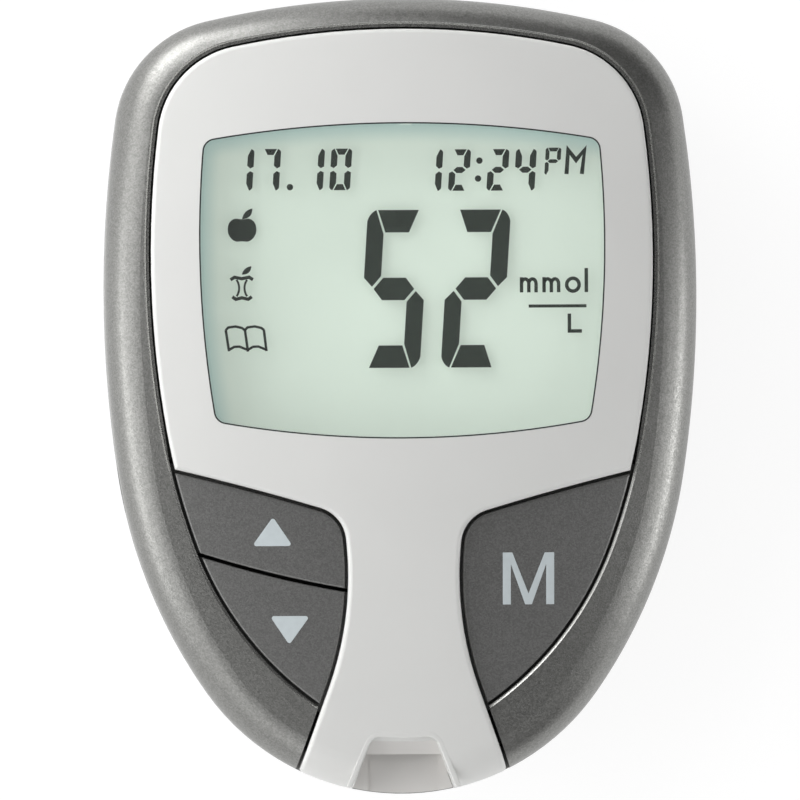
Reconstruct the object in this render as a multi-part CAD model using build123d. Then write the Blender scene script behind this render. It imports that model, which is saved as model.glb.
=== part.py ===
from build123d import *
import math
import os

# Blood glucose meter, in millimetres.
# It lies on its back: +X to the user's right, +Y to the top end, +Z out of the display.
# z = 0 is the flat of the back that the meter rests on.

# Case outline: one symmetric chain of tangent arcs, from the top end round to the nose.
CASE_HALF_WIDTH = 28.6
CASE_END = 38.45            # the top end and the nose lie this far from the origin
CASE_WIDEST_Y = 10.1
CASE_TOP_RADIUS = 84.0
CASE_CORNER_RADIUS = 11.3
CASE_SIDE_RADIUS = 118.0
CASE_FLANKS = [(50.0, -8.5)]    # radius, and the direction in degrees where that arc begins

# Edge of the front plate and of the keys: the same kind of chain, smaller.
PLATE_HALF_WIDTH = 24.2
PLATE_TOP_Y = 35.45
PLATE_NOSE_Y = -32.1
PLATE_WIDEST_Y = 13.5
PLATE_TOP_RADIUS = 80.0
PLATE_CORNER_RADIUS = 9.1
PLATE_SIDE_RADIUS = 97.0
PLATE_FLANKS = [(64.0, -10.0), (32.0, -20.3)]

# Front and back swell like barrels: radius seen from the end, radius seen from the side.
FRONT_APEX_Y = 8.0
FRONT_APEX_Z = 23.0
FRONT_ACROSS = 120.0
FRONT_ALONG = 180.0
BACK_APEX_Z = -0.7
BACK_ACROSS = 110.0
BACK_ALONG = 200.0
PARTING_Z = 12.0
FRONT_ROUNDING = 4.2
BACK_ROUNDING = 4.5

# Shell walls.
RIM_WALL = 1.5
RIM_DROP = 0.8              # the rim and the keys lie this far below the front plate
FRONT_THICKNESS = 2.2       # from the plate's face down to the underside of plate and rim
REAR_WALL = 2.2
REAR_FLOOR = 1.8
LIP_HEIGHT = 1.0
FIT_GAP = 0.05              # pieces that are bonded or clamped together
PLATE_EDGE_ROUNDING = 0.45

# Groove between the rim and what it surrounds.
RIM_GAP = 0.37
RIM_STEP = 0.29
RIM_STEP_DEPTH = 0.35
STEM_SEAM = 0.33

# Window and lens: the window is where four large circles overlap.
WINDOW_HALF_WIDTH = 19.6
WINDOW_TOP_Y = 26.45
WINDOW_BOTTOM_Y = -4.07
WINDOW_WIDEST_Y = 15.0
WINDOW_SIDE_RADIUS = 102.0
WINDOW_TOP_RADIUS = 112.0
WINDOW_BOTTOM_RADIUS = 100.0
WINDOW_CORNER = 1.3
OVER_DISPLAY = 1.5          # thickness of the front plate above the display
LENS_GAP = 0.1
LENS_RECESS = 0.1
LENS_FLANGE = 1.2
LENS_FLANGE_TOP = 0.9       # depth of the flange's seat below the plate's face
LENS_FLANGE_THICKNESS = 0.6

# Keys.
KEY_GAP = 0.33
KEY_RIM_GAP = 0.28
KEY_TRAVEL = 0.5
KEY_EDGE = 0.2
KEY_FLANGE = 0.8
KEY_FLANGE_GAP = 0.15
KEY_FLANGE_THICKNESS = 0.7
STEM_HALF_WIDTH = 5.35      # half of the stem between the keys, where it is narrowest
STEM_NARROW_Y = -17.3
STEM_RADIUS = 32.0
STEM_STRAIGHT_Y = -28.0     # below this the stem's edges run straight to the nose
KEY_TOP_OUTER = (26.0, -6.0)
KEY_TOP_INNER_Y = -11.35
KEY_TOP_RADIUS = 240.0
MEMORY_KEY_DROP = 0.3       # its upper edge lies this far below that of the left keys
KEY_CORNER = 3.5
SPLIT_MIDDLE = (-12.5, -17.2)   # the gap between the two left keys passes through here
SPLIT_TILT = 13.9
SPLIT_RADIUS = 106.0
PLUNGER_RADIUS = 1.4
DOME_RADIUS = 2.6
DOME_HEIGHT = 1.0
DOME_CLEARANCE = 0.4
DOME_TOUCH = 0.02
UP_KEY_CENTRE = (-12.5, -13.6)
DOWN_KEY_CENTRE = (-10.8, -21.6)
MEMORY_KEY_CENTRE = (12.5, -17.6)

# Main board.
BOARD_TOP_Z = 12.8
BOARD_THICKNESS = 1.2
BOARD_INSET = 2.9
BOARD_NOSE_Y = -32.5

# Inner frame, the black chassis under the front.
FRAME_Z = 13.9
FRAME_THICKNESS = 1.2
FRAME_INSET = 2.4
FRAME_WALL_OUT = 0.9        # how far its wall reaches outside and inside the plate's edge
FRAME_WALL_IN = 0.7
KEY_WELL_GAP = 0.35
PORT_ROOM = 1.0             # round the strip port and its connector

# Display stack.
GLASS_THICKNESS = 0.7
GLASS_TOP_Z = 17.9
GLASS_HALF_WIDTH = 20.95
GLASS_BOTTOM_Y = -5.6
REAR_GLASS_TOP_Y = 27.75
FRONT_GLASS_TOP_Y = 29.95
REFLECTOR_THICKNESS = 0.2
HOLDER_WALL = 1.0
HOLDER_FLOOR = 1.1
HOLDER_INSET = 0.95
GLASS_CLEARANCE = 0.15
ZEBRA_WIDTH = 1.8
ZEBRA_HALF_LENGTH = 18.0

# Battery bay, open to the back and closed by a sliding cover.
BAY_HALF_WIDTH = 23.5
BAY_START_Y = 2.0
BAY_WALL = 1.8
COVER_GAP = 0.15
COVER_WALL = 1.4
CELL_RADIUS = 10.0
CELL_HEIGHT = 3.2
CELL_X = 10.4
CELL_Y = 14.0
CELL_Z = 3.4
CELL_POCKET_GAP = 0.15
POCKET_HEIGHT = 2.0
POCKET_WALL = 1.0
CLIP_HALF_WIDTH = 2.0
CLIP_FOOT = 3.0
CLIP_ROOM = 3.0             # half-width of the gap in the pocket's wall for each clip
SPRING_SIZE = (10.0, 3.0)
SPRING_BUTTON = 1.2
CELL_CAP_INSET = 1.2
CELL_CAP_HEIGHT = 0.4
CONTACT_GAP = 0.4
CONTACT_SHEET = 0.15
TRAY_FLOOR = 1.2
TRAY_LIP = 0.6
RAIL_LIP = 1.3
RAIL_DEPTH = 0.75
RAIL_HEIGHT = 0.9
RAIL_Z = 3.9
RAIL_TOP_Z = 5.0
RAIL_CLEARANCE = 0.15
RAIL_SPANS = [(4.0, 14.0), (22.0, 29.0)]
GRIP_COUNT = 5
GRIP_PITCH = 1.8
GRIP_WIDTH = 0.9
GRIP_LENGTH = 12.0
GRIP_DEPTH = 0.4
GRIP_START_Y = 5.0

# Strip port in the nose.
NOTCH_TOP_Y = -32.65
NOTCH_TOP_HALF = 3.45
NOTCH_SPREAD = 0.385        # growth of the half-width for each millimetre towards the nose
NOTCH_CORNER = 1.1
NOTCH_SAG = 0.16
NOTCH_LIP = 0.5
NOTCH_LIP_DEPTH = 0.45
STRIP_FLOOR_Z = 13.2
SLOT_HEIGHT = 1.2
SLOT_HALF_WIDTH = 3.35
GUIDE_WALL_TOP_Y = -33.2
GUIDE_WALL_FOOT_Y = -34.6
GUIDE_CHANNEL_DEPTH = 0.25
GUIDE_HALF_WIDTH = 7.0
GUIDE_BACK_Y = -32.8
GUIDE_INSET = 0.1
CONNECTOR_HALF_WIDTH = 5.2
CONNECTOR_LENGTH = 9.0
CONNECTOR_HEIGHT = 3.2
CONNECTOR_BACK = 2.2
CONTACT_COUNT = 5
CONTACT_PITCH = 1.1
CONTACT_WIDTH = 0.5
CONTACT_REACH = 2.0

# Data jack in the left side, for a 2.5 mm plug.
JACK_Y = -9.0
JACK_Z = 9.1
JACK_HALF = 2.5
JACK_BORE = 1.3
JACK_COLLAR = 2.2
JACK_COLLAR_GAP = 0.15
JACK_INSET = 2.2            # its face lies this far inside the side of the case
JACK_COLLAR_LENGTH = 2.6
JACK_BODY_LENGTH = 10.2
JACK_BORE_LENGTH = 11.0

# Case screws.
SCREW_INSET = 5.8           # the upper screws lie this far inside the sides of the case
UPPER_SCREW_Y = -3.0
LOWER_SCREW = (12.5, -28.5)
SCREW_RADIUS = 0.9
SCREW_HEAD_RADIUS = 1.6
SCREW_HEAD_HEIGHT = 1.3
SCREW_HEAD_Z = 4.8
SCREW_LENGTH = 9.6
SCREW_GAP = 0.1
BOSS_RADIUS = 2.5
POST_RADIUS = 1.9

# Small parts on the board.
CHIP_SIZE = (10.0, 10.0, 1.2)
CHIP_PLACE = (-6.0, 9.0)
SENSOR_CHIP_SIZE = (5.0, 4.0, 1.0)
SENSOR_CHIP_PLACE = (0.0, -19.0)
CRYSTAL_SIZE = (6.0, 2.2, 1.6)
CRYSTAL_PLACE = (8.0, 14.0)
PASSIVE_SIZE = (1.6, 0.8, 0.6)
PASSIVE_ROWS = [(7.0, 2.0, 5), (-15.0, 0.0, 4)]     # x, first y, how many
PASSIVE_PITCH = 2.4
BUZZER_RADIUS = 4.5
BUZZER_HEIGHT = 2.3
BUZZER_PLACE = (13.0, -14.0)

# Heights and places that follow from the sizes above.
BOARD_UNDER_Z = BOARD_TOP_Z - BOARD_THICKNESS
REAR_GLASS_TOP_Z = GLASS_TOP_Z - GLASS_THICKNESS
REFLECTOR_TOP_Z = REAR_GLASS_TOP_Z - GLASS_THICKNESS
HOLDER_FLOOR_Z = REFLECTOR_TOP_Z - REFLECTOR_THICKNESS
TRAY_UNDER_Z = CELL_Z + CELL_HEIGHT + CONTACT_GAP
TRAY_TOP_Z = TRAY_UNDER_Z + TRAY_FLOOR
COVER_TOP_Z = TRAY_UNDER_Z + TRAY_LIP
PLUNGER_Z = BOARD_TOP_Z + DOME_HEIGHT + DOME_TOUCH
KEY_FLANGE_TOP = FRONT_THICKNESS + KEY_FLANGE_GAP
KEY_FLANGE_UNDER = KEY_FLANGE_TOP + KEY_FLANGE_THICKNESS
LENS_UNDER = LENS_FLANGE_TOP + LENS_FLANGE_THICKNESS
SLOT_TOP_Z = STRIP_FLOOR_Z + SLOT_HEIGHT
JACK_FACE_X = JACK_INSET - CASE_HALF_WIDTH
JACK_SHOULDER_X = JACK_FACE_X + JACK_COLLAR_LENGTH
JACK_BACK_X = JACK_SHOULDER_X + JACK_BODY_LENGTH
UPPER_SCREW_X = CASE_HALF_WIDTH - SCREW_INSET
SCREW_PLACES = [(side * x, y) for x, y in [(UPPER_SCREW_X, UPPER_SCREW_Y), LOWER_SCREW] for side in (1, -1)]
REACH = 60.0                # longer than the meter, for tools that cut right through it
ON_BASE = (Align.CENTER, Align.CENTER, Align.MIN)


def direction(degrees):
    """Unit vector in the plan at an angle from +X."""
    return Vector(math.cos(math.radians(degrees)), math.sin(math.radians(degrees)))


def heading(vector):
    """Angle in degrees of a vector in the plan."""
    return math.degrees(math.atan2(vector.Y, vector.X))


def tangent_centre(first, first_gap, second, second_gap):
    """The point at two given distances from two centres, on the right of them."""
    span = second - first
    along = (first_gap**2 - second_gap**2 + span.length**2) / (2 * span.length)
    aside = math.sqrt(first_gap**2 - along**2)
    unit = span.normalized()
    foot = first + unit * along
    across = Vector(-unit.Y, unit.X) * aside
    return max(foot + across, foot - across, key=lambda point: point.X)


def egg_arcs(half_width, top_y, nose_y, widest_y, top_radius, corner_radius, side_radius, flanks):
    """Right half of an egg outline as arcs: centre, radius, first and last direction."""
    top = Vector(0, top_y - top_radius)
    side = Vector(half_width - side_radius, widest_y)
    corner = tangent_centre(top, top_radius - corner_radius, side, side_radius - corner_radius)
    shoulder = heading(corner - top)
    turn = heading(corner - side)
    arcs = [(top, top_radius, 90, shoulder), (corner, corner_radius, shoulder, turn)]
    centre, radius, start = side, side_radius, turn
    for flank_radius, begins in flanks:
        arcs.append((centre, radius, start, begins))
        centre = centre + direction(begins) * (radius - flank_radius)
        radius, start = flank_radius, begins
    drop = centre.Y - nose_y
    nose_radius = (centre.X**2 + drop**2 - radius**2) / (2 * (drop - radius))
    nose = Vector(0, nose_y + nose_radius)
    chin = heading(nose - centre)
    return arcs + [(centre, radius, start, chin), (nose, nose_radius, chin, -90)]


CASE_ARCS = egg_arcs(CASE_HALF_WIDTH, CASE_END, -CASE_END, CASE_WIDEST_Y, CASE_TOP_RADIUS,
                     CASE_CORNER_RADIUS, CASE_SIDE_RADIUS, CASE_FLANKS)
PLATE_ARCS = egg_arcs(PLATE_HALF_WIDTH, PLATE_TOP_Y, PLATE_NOSE_Y, PLATE_WIDEST_Y, PLATE_TOP_RADIUS,
                      PLATE_CORNER_RADIUS, PLATE_SIDE_RADIUS, PLATE_FLANKS)


def egg_face(arcs, grow):
    """Face inside an egg outline, grown outwards by a constant distance."""
    edges = []
    for centre, radius, first, last in arcs:
        size = last - first
        edges.append(CenterArc(centre, radius + grow, first, size))
        edges.append(CenterArc((-centre.X, centre.Y), radius + grow, 180 - first, -size))
    return make_face(edges)


def case_face(grow=0.0):
    return egg_face(CASE_ARCS, grow)


def plate_egg(grow=0.0):
    return egg_face(PLATE_ARCS, grow)


def prism(face, low, high):
    """Face in plan, extruded between two heights."""
    return extrude(Pos(0, 0, low) * face, high - low)


def block(x_range, y_range, z_range):
    """Box given by its ranges."""
    sizes = [span[1] - span[0] for span in (x_range, y_range, z_range)]
    return Pos(x_range[0], y_range[0], z_range[0]) * Box(*sizes, align=(Align.MIN,) * 3)


def above(z):
    """Everything above a height."""
    return block((-REACH, REACH), (-REACH, REACH), (z, REACH))


def post(place, radius, low, high):
    """Upright cylinder at a place in plan."""
    return Pos(place[0], place[1], low) * Cylinder(radius, high - low, align=ON_BASE)


def both_sides(shape):
    """The shape and its mirror image on the left."""
    return shape + mirror(shape, Plane.YZ)


def barrel(apex_y, apex_z, across, along, drop, up):
    """Solid behind a barrel surface, which faces up (1) or down (-1), with an exact offset inwards."""
    axis_z = apex_z - up * across
    centre_z = apex_z - up * along
    radius = along - drop
    end_z = centre_z + up * math.sqrt(radius**2 - REACH**2)
    crown = ThreePointArc((apex_y - REACH, end_z), (apex_y, centre_z + up * radius), (apex_y + REACH, end_z))
    sides = Polyline((apex_y + REACH, end_z), (apex_y + REACH, axis_z), (apex_y - REACH, axis_z),
                     (apex_y - REACH, end_z))
    return revolve(Plane.YZ * make_face([crown, sides]), Axis((0, 0, axis_z), (0, 1, 0)))


def front_dome(drop=0.0):
    """Everything below the front surface, or below a surface inside it."""
    return barrel(FRONT_APEX_Y, FRONT_APEX_Z, FRONT_ACROSS, FRONT_ALONG, drop, 1)


def back_dome(drop=0.0):
    """Everything above the back surface."""
    return barrel(0, BACK_APEX_Z, BACK_ACROSS, BACK_ALONG, drop, -1)


def under_front(face, low, drop):
    """Prism on a face in plan, from a height up to the front surface less a drop."""
    return prism(face, low, REACH) & front_dome(drop)


def between_fronts(face, upper_drop, lower_drop):
    """Layer on a face in plan, between two surfaces parallel to the front."""
    return under_front(face, PARTING_Z, upper_drop) - front_dome(lower_drop)


def main_face(shape, up):
    """Largest face that looks up (1) or down (-1)."""
    return max((face for face in shape.faces() if face.normal_at().Z * up > 0.5), key=lambda face: face.area)


def front_blank(inset, drop, low=PARTING_Z):
    """Front half of the case with its rounded edge, or the space inside it."""
    body = under_front(case_face(-inset), low, drop)
    return fillet(main_face(body, 1).edges(), FRONT_ROUNDING - inset)


def front_room(low):
    """Space inside the front, less the fit of what is bonded into it."""
    return front_blank(RIM_WALL + FIT_GAP, FRONT_THICKNESS + FIT_GAP, low)


def back_blank(inset, drop, high=PARTING_Z):
    """Rear half of the case with its rounded edge, or the space inside it."""
    body = prism(case_face(-inset), -REACH, high) & back_dome(drop)
    return fillet(main_face(body, -1).edges(), BACK_ROUNDING - inset)


def stem_edge_x(y):
    """Half-width of the stem at a height of its curved part."""
    return STEM_HALF_WIDTH + STEM_RADIUS - math.sqrt(STEM_RADIUS**2 - (y - STEM_NARROW_Y) ** 2)


def key_side(grow=0.0, drop=0.0):
    """Region of the keys to the right of the stem, open to the rim, grown by a distance, its upper edge dropped."""
    outer = (KEY_TOP_OUTER[0], KEY_TOP_OUTER[1] - drop)
    inner_y = KEY_TOP_INNER_Y - drop
    inner = (stem_edge_x(inner_y), inner_y)
    foot = (stem_edge_x(STEM_STRAIGHT_Y), STEM_STRAIGHT_Y)
    lean = math.asin((STEM_NARROW_Y - STEM_STRAIGHT_Y) / STEM_RADIUS)
    end_y = -REACH
    end = (foot[0] + (foot[1] - end_y) * math.tan(lean), end_y)
    edges = [
        RadiusArc(outer, inner, -KEY_TOP_RADIUS),
        ThreePointArc(inner, (STEM_HALF_WIDTH, STEM_NARROW_Y), foot),
        Polyline(foot, end, (REACH, end_y), (REACH, outer[1]), outer),
    ]
    region = make_face(edges)
    corner = region.vertices().sort_by_distance(Vector(*inner))[0]
    region = fillet(corner, KEY_CORNER)
    return offset(region, grow) if grow else region


def left(face):
    return mirror(face, Plane.YZ)


def memory_side(grow=0.0):
    """Region of the memory key, right of the stem."""
    return key_side(grow, MEMORY_KEY_DROP)


def plate_face(grow=0.0):
    """Front plate in plan: the egg less both key regions, with the stem run out to the nose."""
    stem = Pos(0, -REACH / 2 + STEM_NARROW_Y) * Rectangle(4 * STEM_HALF_WIDTH, REACH)
    whole = plate_egg(grow) + (stem & case_face(1.0))
    return whole - memory_side(-grow) - left(key_side(-grow))


def split_disc(grow):
    """Disc whose edge runs along the gap between the two left keys."""
    tilt = math.radians(SPLIT_TILT)
    centre_x = SPLIT_MIDDLE[0] + SPLIT_RADIUS * math.sin(tilt)
    centre_y = SPLIT_MIDDLE[1] + SPLIT_RADIUS * math.cos(tilt)
    return Pos(centre_x, centre_y) * Circle(SPLIT_RADIUS + grow)


def window_face(grow=0.0):
    """Window in plan, with all four sides bulged."""
    side = Pos(WINDOW_HALF_WIDTH - WINDOW_SIDE_RADIUS, WINDOW_WIDEST_Y) * Circle(WINDOW_SIDE_RADIUS + grow)
    top = Pos(0, WINDOW_TOP_Y - WINDOW_TOP_RADIUS) * Circle(WINDOW_TOP_RADIUS + grow)
    bottom = Pos(0, WINDOW_BOTTOM_Y + WINDOW_BOTTOM_RADIUS) * Circle(WINDOW_BOTTOM_RADIUS + grow)
    region = side & left(side) & top & bottom
    return fillet(region.vertices(), WINDOW_CORNER + grow)


def notch_face(grow=0.0):
    """Strip notch in plan: it opens towards the nose and its back edge sags a little."""
    end_y = -CASE_END - 2.0
    end_half = NOTCH_TOP_HALF + NOTCH_SPREAD * (NOTCH_TOP_Y - end_y)
    top_left = (-NOTCH_TOP_HALF, NOTCH_TOP_Y)
    top_right = (NOTCH_TOP_HALF, NOTCH_TOP_Y)
    sides = Polyline(top_right, (end_half, end_y), (-end_half, end_y), top_left)
    region = make_face([sides, ThreePointArc(top_left, (0, NOTCH_TOP_Y - NOTCH_SAG), top_right)])
    region = fillet(region.vertices().sort_by(Axis.Y)[-2:], NOTCH_CORNER)
    return offset(region, grow) if grow else region


def guide_band(gap=0.0):
    """Zone of the strip port insert in plan, open to the nose."""
    return Pos(0, GUIDE_BACK_Y - REACH / 2) * Rectangle(2 * (GUIDE_HALF_WIDTH + gap), REACH)


def make_front_cover():
    """White front: a T-shaped plate whose stem wraps down over the nose."""
    face = plate_face()
    cover = front_blank(0, 0) & prism(face, 0, REACH)
    soft_edges = main_face(cover, 1).edges().sort_by(Axis.Y)[1:]    # all but the rounded nose
    cover = fillet(soft_edges, PLATE_EDGE_ROUNDING)
    cover -= front_blank(RIM_WALL, FRONT_THICKNESS, low=0)
    cover -= under_front(holder_outline(GLASS_CLEARANCE), 0, OVER_DISPLAY)
    cover -= prism(window_face(), 0, REACH)
    cover -= under_front(window_face(LENS_FLANGE + LENS_GAP), 0, LENS_FLANGE_TOP)
    cover -= prism(notch_face(), 0, REACH) - front_dome(NOTCH_LIP_DEPTH)
    cover -= prism(notch_face(-NOTCH_LIP), 0, REACH)
    return cover


def make_rim_frame():
    """Painted rim, a C-shaped shell open at the nose, with a small step along its inner edge."""
    ring = case_face() - plate_egg(RIM_GAP) - plate_face(STEM_SEAM)
    rim = front_blank(0, RIM_DROP) & prism(ring, 0, REACH)
    rim -= front_blank(RIM_WALL, FRONT_THICKNESS, low=0)
    rim -= prism(plate_egg(RIM_GAP + RIM_STEP), 0, REACH) - front_dome(RIM_DROP + RIM_STEP_DEPTH)
    return rim


def make_display_lens():
    """Clear lens that fills the window from behind, held by its flange."""
    crown = between_fronts(window_face(-LENS_GAP), LENS_RECESS, LENS_UNDER)
    flange = between_fronts(window_face(LENS_FLANGE), LENS_FLANGE_TOP + FIT_GAP, LENS_UNDER)
    return crown + flange


def make_lens_gasket():
    """Foam ring between the lens and the display glass."""
    ring = window_face(LENS_FLANGE) - window_face(LENS_GAP)
    return under_front(ring, GLASS_TOP_Z, LENS_UNDER)


def make_key(region, flange_region, centre):
    """Key cap with a retaining flange under the front and a plunger over its dome."""
    cap = between_fronts(region, RIM_DROP, KEY_FLANGE_UNDER)
    cap = fillet(main_face(cap, 1).edges(), KEY_EDGE)
    flange = between_fronts(flange_region, KEY_FLANGE_TOP, KEY_FLANGE_UNDER)
    return cap + flange + under_front(Pos(*centre) * Circle(PLUNGER_RADIUS), PLUNGER_Z, KEY_FLANGE_TOP)


def key_regions():
    """Cap and flange regions of each key in plan."""
    inside_rim = plate_egg(RIM_GAP - KEY_RIM_GAP)
    under_rim = plate_egg(KEY_FLANGE)
    cap_side = key_side(-KEY_GAP) & inside_rim
    flange_side = key_side(KEY_FLANGE - KEY_GAP) & under_rim
    inside = split_disc(-KEY_GAP / 2)
    outside = split_disc(KEY_GAP / 2)
    return {
        "up_key": (left(cap_side) & inside, left(flange_side) & inside, UP_KEY_CENTRE),
        "down_key": (left(cap_side) - outside, left(flange_side) - outside, DOWN_KEY_CENTRE),
        "memory_key": (memory_side(-KEY_GAP) & inside_rim, memory_side(KEY_FLANGE - KEY_GAP) & under_rim,
                       MEMORY_KEY_CENTRE),
    }


def key_wells():
    """Room for the keys and their flanges over the whole travel."""
    room = prism(plate_egg(KEY_FLANGE + KEY_WELL_GAP), 0, REACH)
    room -= front_dome(KEY_FLANGE_UNDER + KEY_TRAVEL + KEY_WELL_GAP)
    grow = KEY_FLANGE + KEY_WELL_GAP - KEY_GAP
    return room & prism(memory_side(grow) + left(key_side(grow)), 0, REACH)


def make_inner_frame(regions):
    """Black chassis: a plate with walls up to the front, wells for the keys and posts for the screws."""
    frame = prism(case_face(-FRAME_INSET), FRAME_Z, FRAME_Z + FRAME_THICKNESS)
    wall = plate_egg(FRAME_WALL_OUT) - plate_egg(-FRAME_WALL_IN)
    frame += prism(wall, FRAME_Z, REACH) & front_room(FRAME_Z)
    frame -= key_wells()
    for _, _, centre in regions.values():
        frame -= post(centre, DOME_RADIUS + DOME_CLEARANCE, 0, REACH)
    for place in SCREW_PLACES:
        frame += post(place, POST_RADIUS, BOARD_TOP_Z, FRAME_Z)
        frame -= post(place, SCREW_RADIUS, 0, FRAME_Z + FRAME_THICKNESS)
    frame -= prism(holder_outline(GLASS_CLEARANCE), 0, REACH)
    half = GUIDE_HALF_WIDTH + PORT_ROOM
    return frame - block((-half, half), (-REACH, BOARD_NOSE_Y + CONNECTOR_LENGTH + PORT_ROOM), (0, REACH))


def holder_outline(grow=0.0):
    """Display holder in plan: a rectangle whose corners follow the plate's edge."""
    reach = HOLDER_WALL + GLASS_CLEARANCE + grow
    width = 2 * (GLASS_HALF_WIDTH + reach)
    height = FRONT_GLASS_TOP_Y - GLASS_BOTTOM_Y + 2 * reach
    middle = (FRONT_GLASS_TOP_Y + GLASS_BOTTOM_Y) / 2
    return (Pos(0, middle) * Rectangle(width, height)) & plate_egg(grow - HOLDER_INSET)


def glass_range(top_y, clearance=0.0):
    """Ranges in plan of one glass of the display."""
    half = GLASS_HALF_WIDTH + clearance
    return (-half, half), (GLASS_BOTTOM_Y - clearance, top_y + clearance)


def make_lcd_holder():
    """Frame that stands on the board and carries the display glass."""
    holder = prism(holder_outline(), BOARD_TOP_Z, GLASS_TOP_Z) - key_wells()
    holder -= block(*glass_range(FRONT_GLASS_TOP_Y, GLASS_CLEARANCE), (HOLDER_FLOOR_Z, REACH))
    room_z = HOLDER_FLOOR_Z - HOLDER_FLOOR
    holder -= block(*glass_range(REAR_GLASS_TOP_Y, -HOLDER_WALL), (0, room_z))
    return holder - zebra_block(GLASS_CLEARANCE)


def zebra_block(clearance=0.0):
    """Rubber connector strip between the board and the ledge of the front glass."""
    middle = (REAR_GLASS_TOP_Y + FRONT_GLASS_TOP_Y) / 2
    half = ZEBRA_WIDTH / 2 + clearance
    reach = ZEBRA_HALF_LENGTH + clearance
    return block((-reach, reach), (middle - half, middle + half), (BOARD_TOP_Z, REAR_GLASS_TOP_Z))


def make_main_board():
    """Circuit board, cut straight at the nose, with holes for the case screws."""
    board = prism(case_face(-BOARD_INSET), BOARD_UNDER_Z, BOARD_TOP_Z)
    board -= block((-REACH, REACH), (-REACH, BOARD_NOSE_Y), (0, REACH))
    for place in SCREW_PLACES:
        board -= post(place, SCREW_RADIUS + SCREW_GAP, 0, REACH)
    return board


def make_dome(centre):
    """Rubber key dome: a low truncated cone on the board."""
    cone = Cone(DOME_RADIUS, PLUNGER_RADIUS, DOME_HEIGHT, align=ON_BASE)
    return Pos(centre[0], centre[1], BOARD_TOP_Z) * cone


def on_board(place, size):
    """Box-shaped part standing on the board."""
    return Pos(place[0], place[1], BOARD_TOP_Z) * Box(*size, align=ON_BASE)


def make_board_passives():
    """Rows of small resistors and capacitors."""
    places = [(x, y + PASSIVE_PITCH * index) for x, y, count in PASSIVE_ROWS for index in range(count)]
    return [on_board(place, PASSIVE_SIZE) for place in places]


def make_strip_connector():
    """Connector body behind the strip port, with the slot that takes the strip."""
    span = (BOARD_NOSE_Y, BOARD_NOSE_Y + CONNECTOR_LENGTH)
    half = CONNECTOR_HALF_WIDTH
    body = block((-half, half), span, (BOARD_TOP_Z, BOARD_TOP_Z + CONNECTOR_HEIGHT))
    half = SLOT_HALF_WIDTH
    return body - block((-half, half), (-REACH, span[1] - CONNECTOR_BACK), (STRIP_FLOOR_Z, SLOT_TOP_Z))


def make_strip_contacts():
    """Five spring contacts that stand up from the floor of the strip slot."""
    y = BOARD_NOSE_Y + CONNECTOR_LENGTH / 2
    peak = (y, STRIP_FLOOR_Z + SLOT_HEIGHT / 2)
    feet = (y - CONTACT_REACH, STRIP_FLOOR_Z), (y + CONTACT_REACH, STRIP_FLOOR_Z)
    ramp = make_face(Polyline(feet[0], peak, feet[1], close=True))
    places = [(index - (CONTACT_COUNT - 1) / 2) * CONTACT_PITCH for index in range(CONTACT_COUNT)]
    return [extrude(Plane.YZ.offset(x - CONTACT_WIDTH / 2) * ramp, CONTACT_WIDTH) for x in places]


def make_strip_guide():
    """Strip port insert: a floor with a channel and a sloped back wall over the slot."""
    inside = guide_band() & case_face(-RIM_WALL - FIT_GAP)
    tongue = guide_band() & case_face(-GUIDE_INSET) & notch_face(-NOTCH_LIP - FIT_GAP)
    floor = prism(inside + tongue, PARTING_Z, STRIP_FLOOR_Z + GUIDE_CHANNEL_DEPTH)
    floor -= block((-SLOT_HALF_WIDTH, SLOT_HALF_WIDTH), (-REACH, REACH), (STRIP_FLOOR_Z, REACH))
    head = prism(inside, STRIP_FLOOR_Z, REACH) & front_room(PARTING_Z)
    slope_top_z = SLOT_TOP_Z + GUIDE_WALL_TOP_Y - GUIDE_WALL_FOOT_Y
    slope = Polyline((GUIDE_WALL_FOOT_Y, 0), (GUIDE_WALL_FOOT_Y, SLOT_TOP_Z), (GUIDE_WALL_TOP_Y, slope_top_z),
                     (GUIDE_WALL_TOP_Y, REACH), (-REACH, REACH), (-REACH, 0), close=True)
    mouth = extrude(Plane.YZ * make_face(slope), REACH, both=True)
    head -= mouth & prism(notch_face(-NOTCH_LIP), 0, REACH)
    head -= block((-SLOT_HALF_WIDTH, SLOT_HALF_WIDTH), (-REACH, REACH), (0, SLOT_TOP_Z))
    return floor + head


def bay_face(gap=0.0):
    """Battery bay in plan, open past the top end."""
    half = BAY_HALF_WIDTH - gap
    start = BAY_START_Y + gap
    return Pos(0, start + REACH / 2) * Rectangle(2 * half, REACH)


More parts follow.
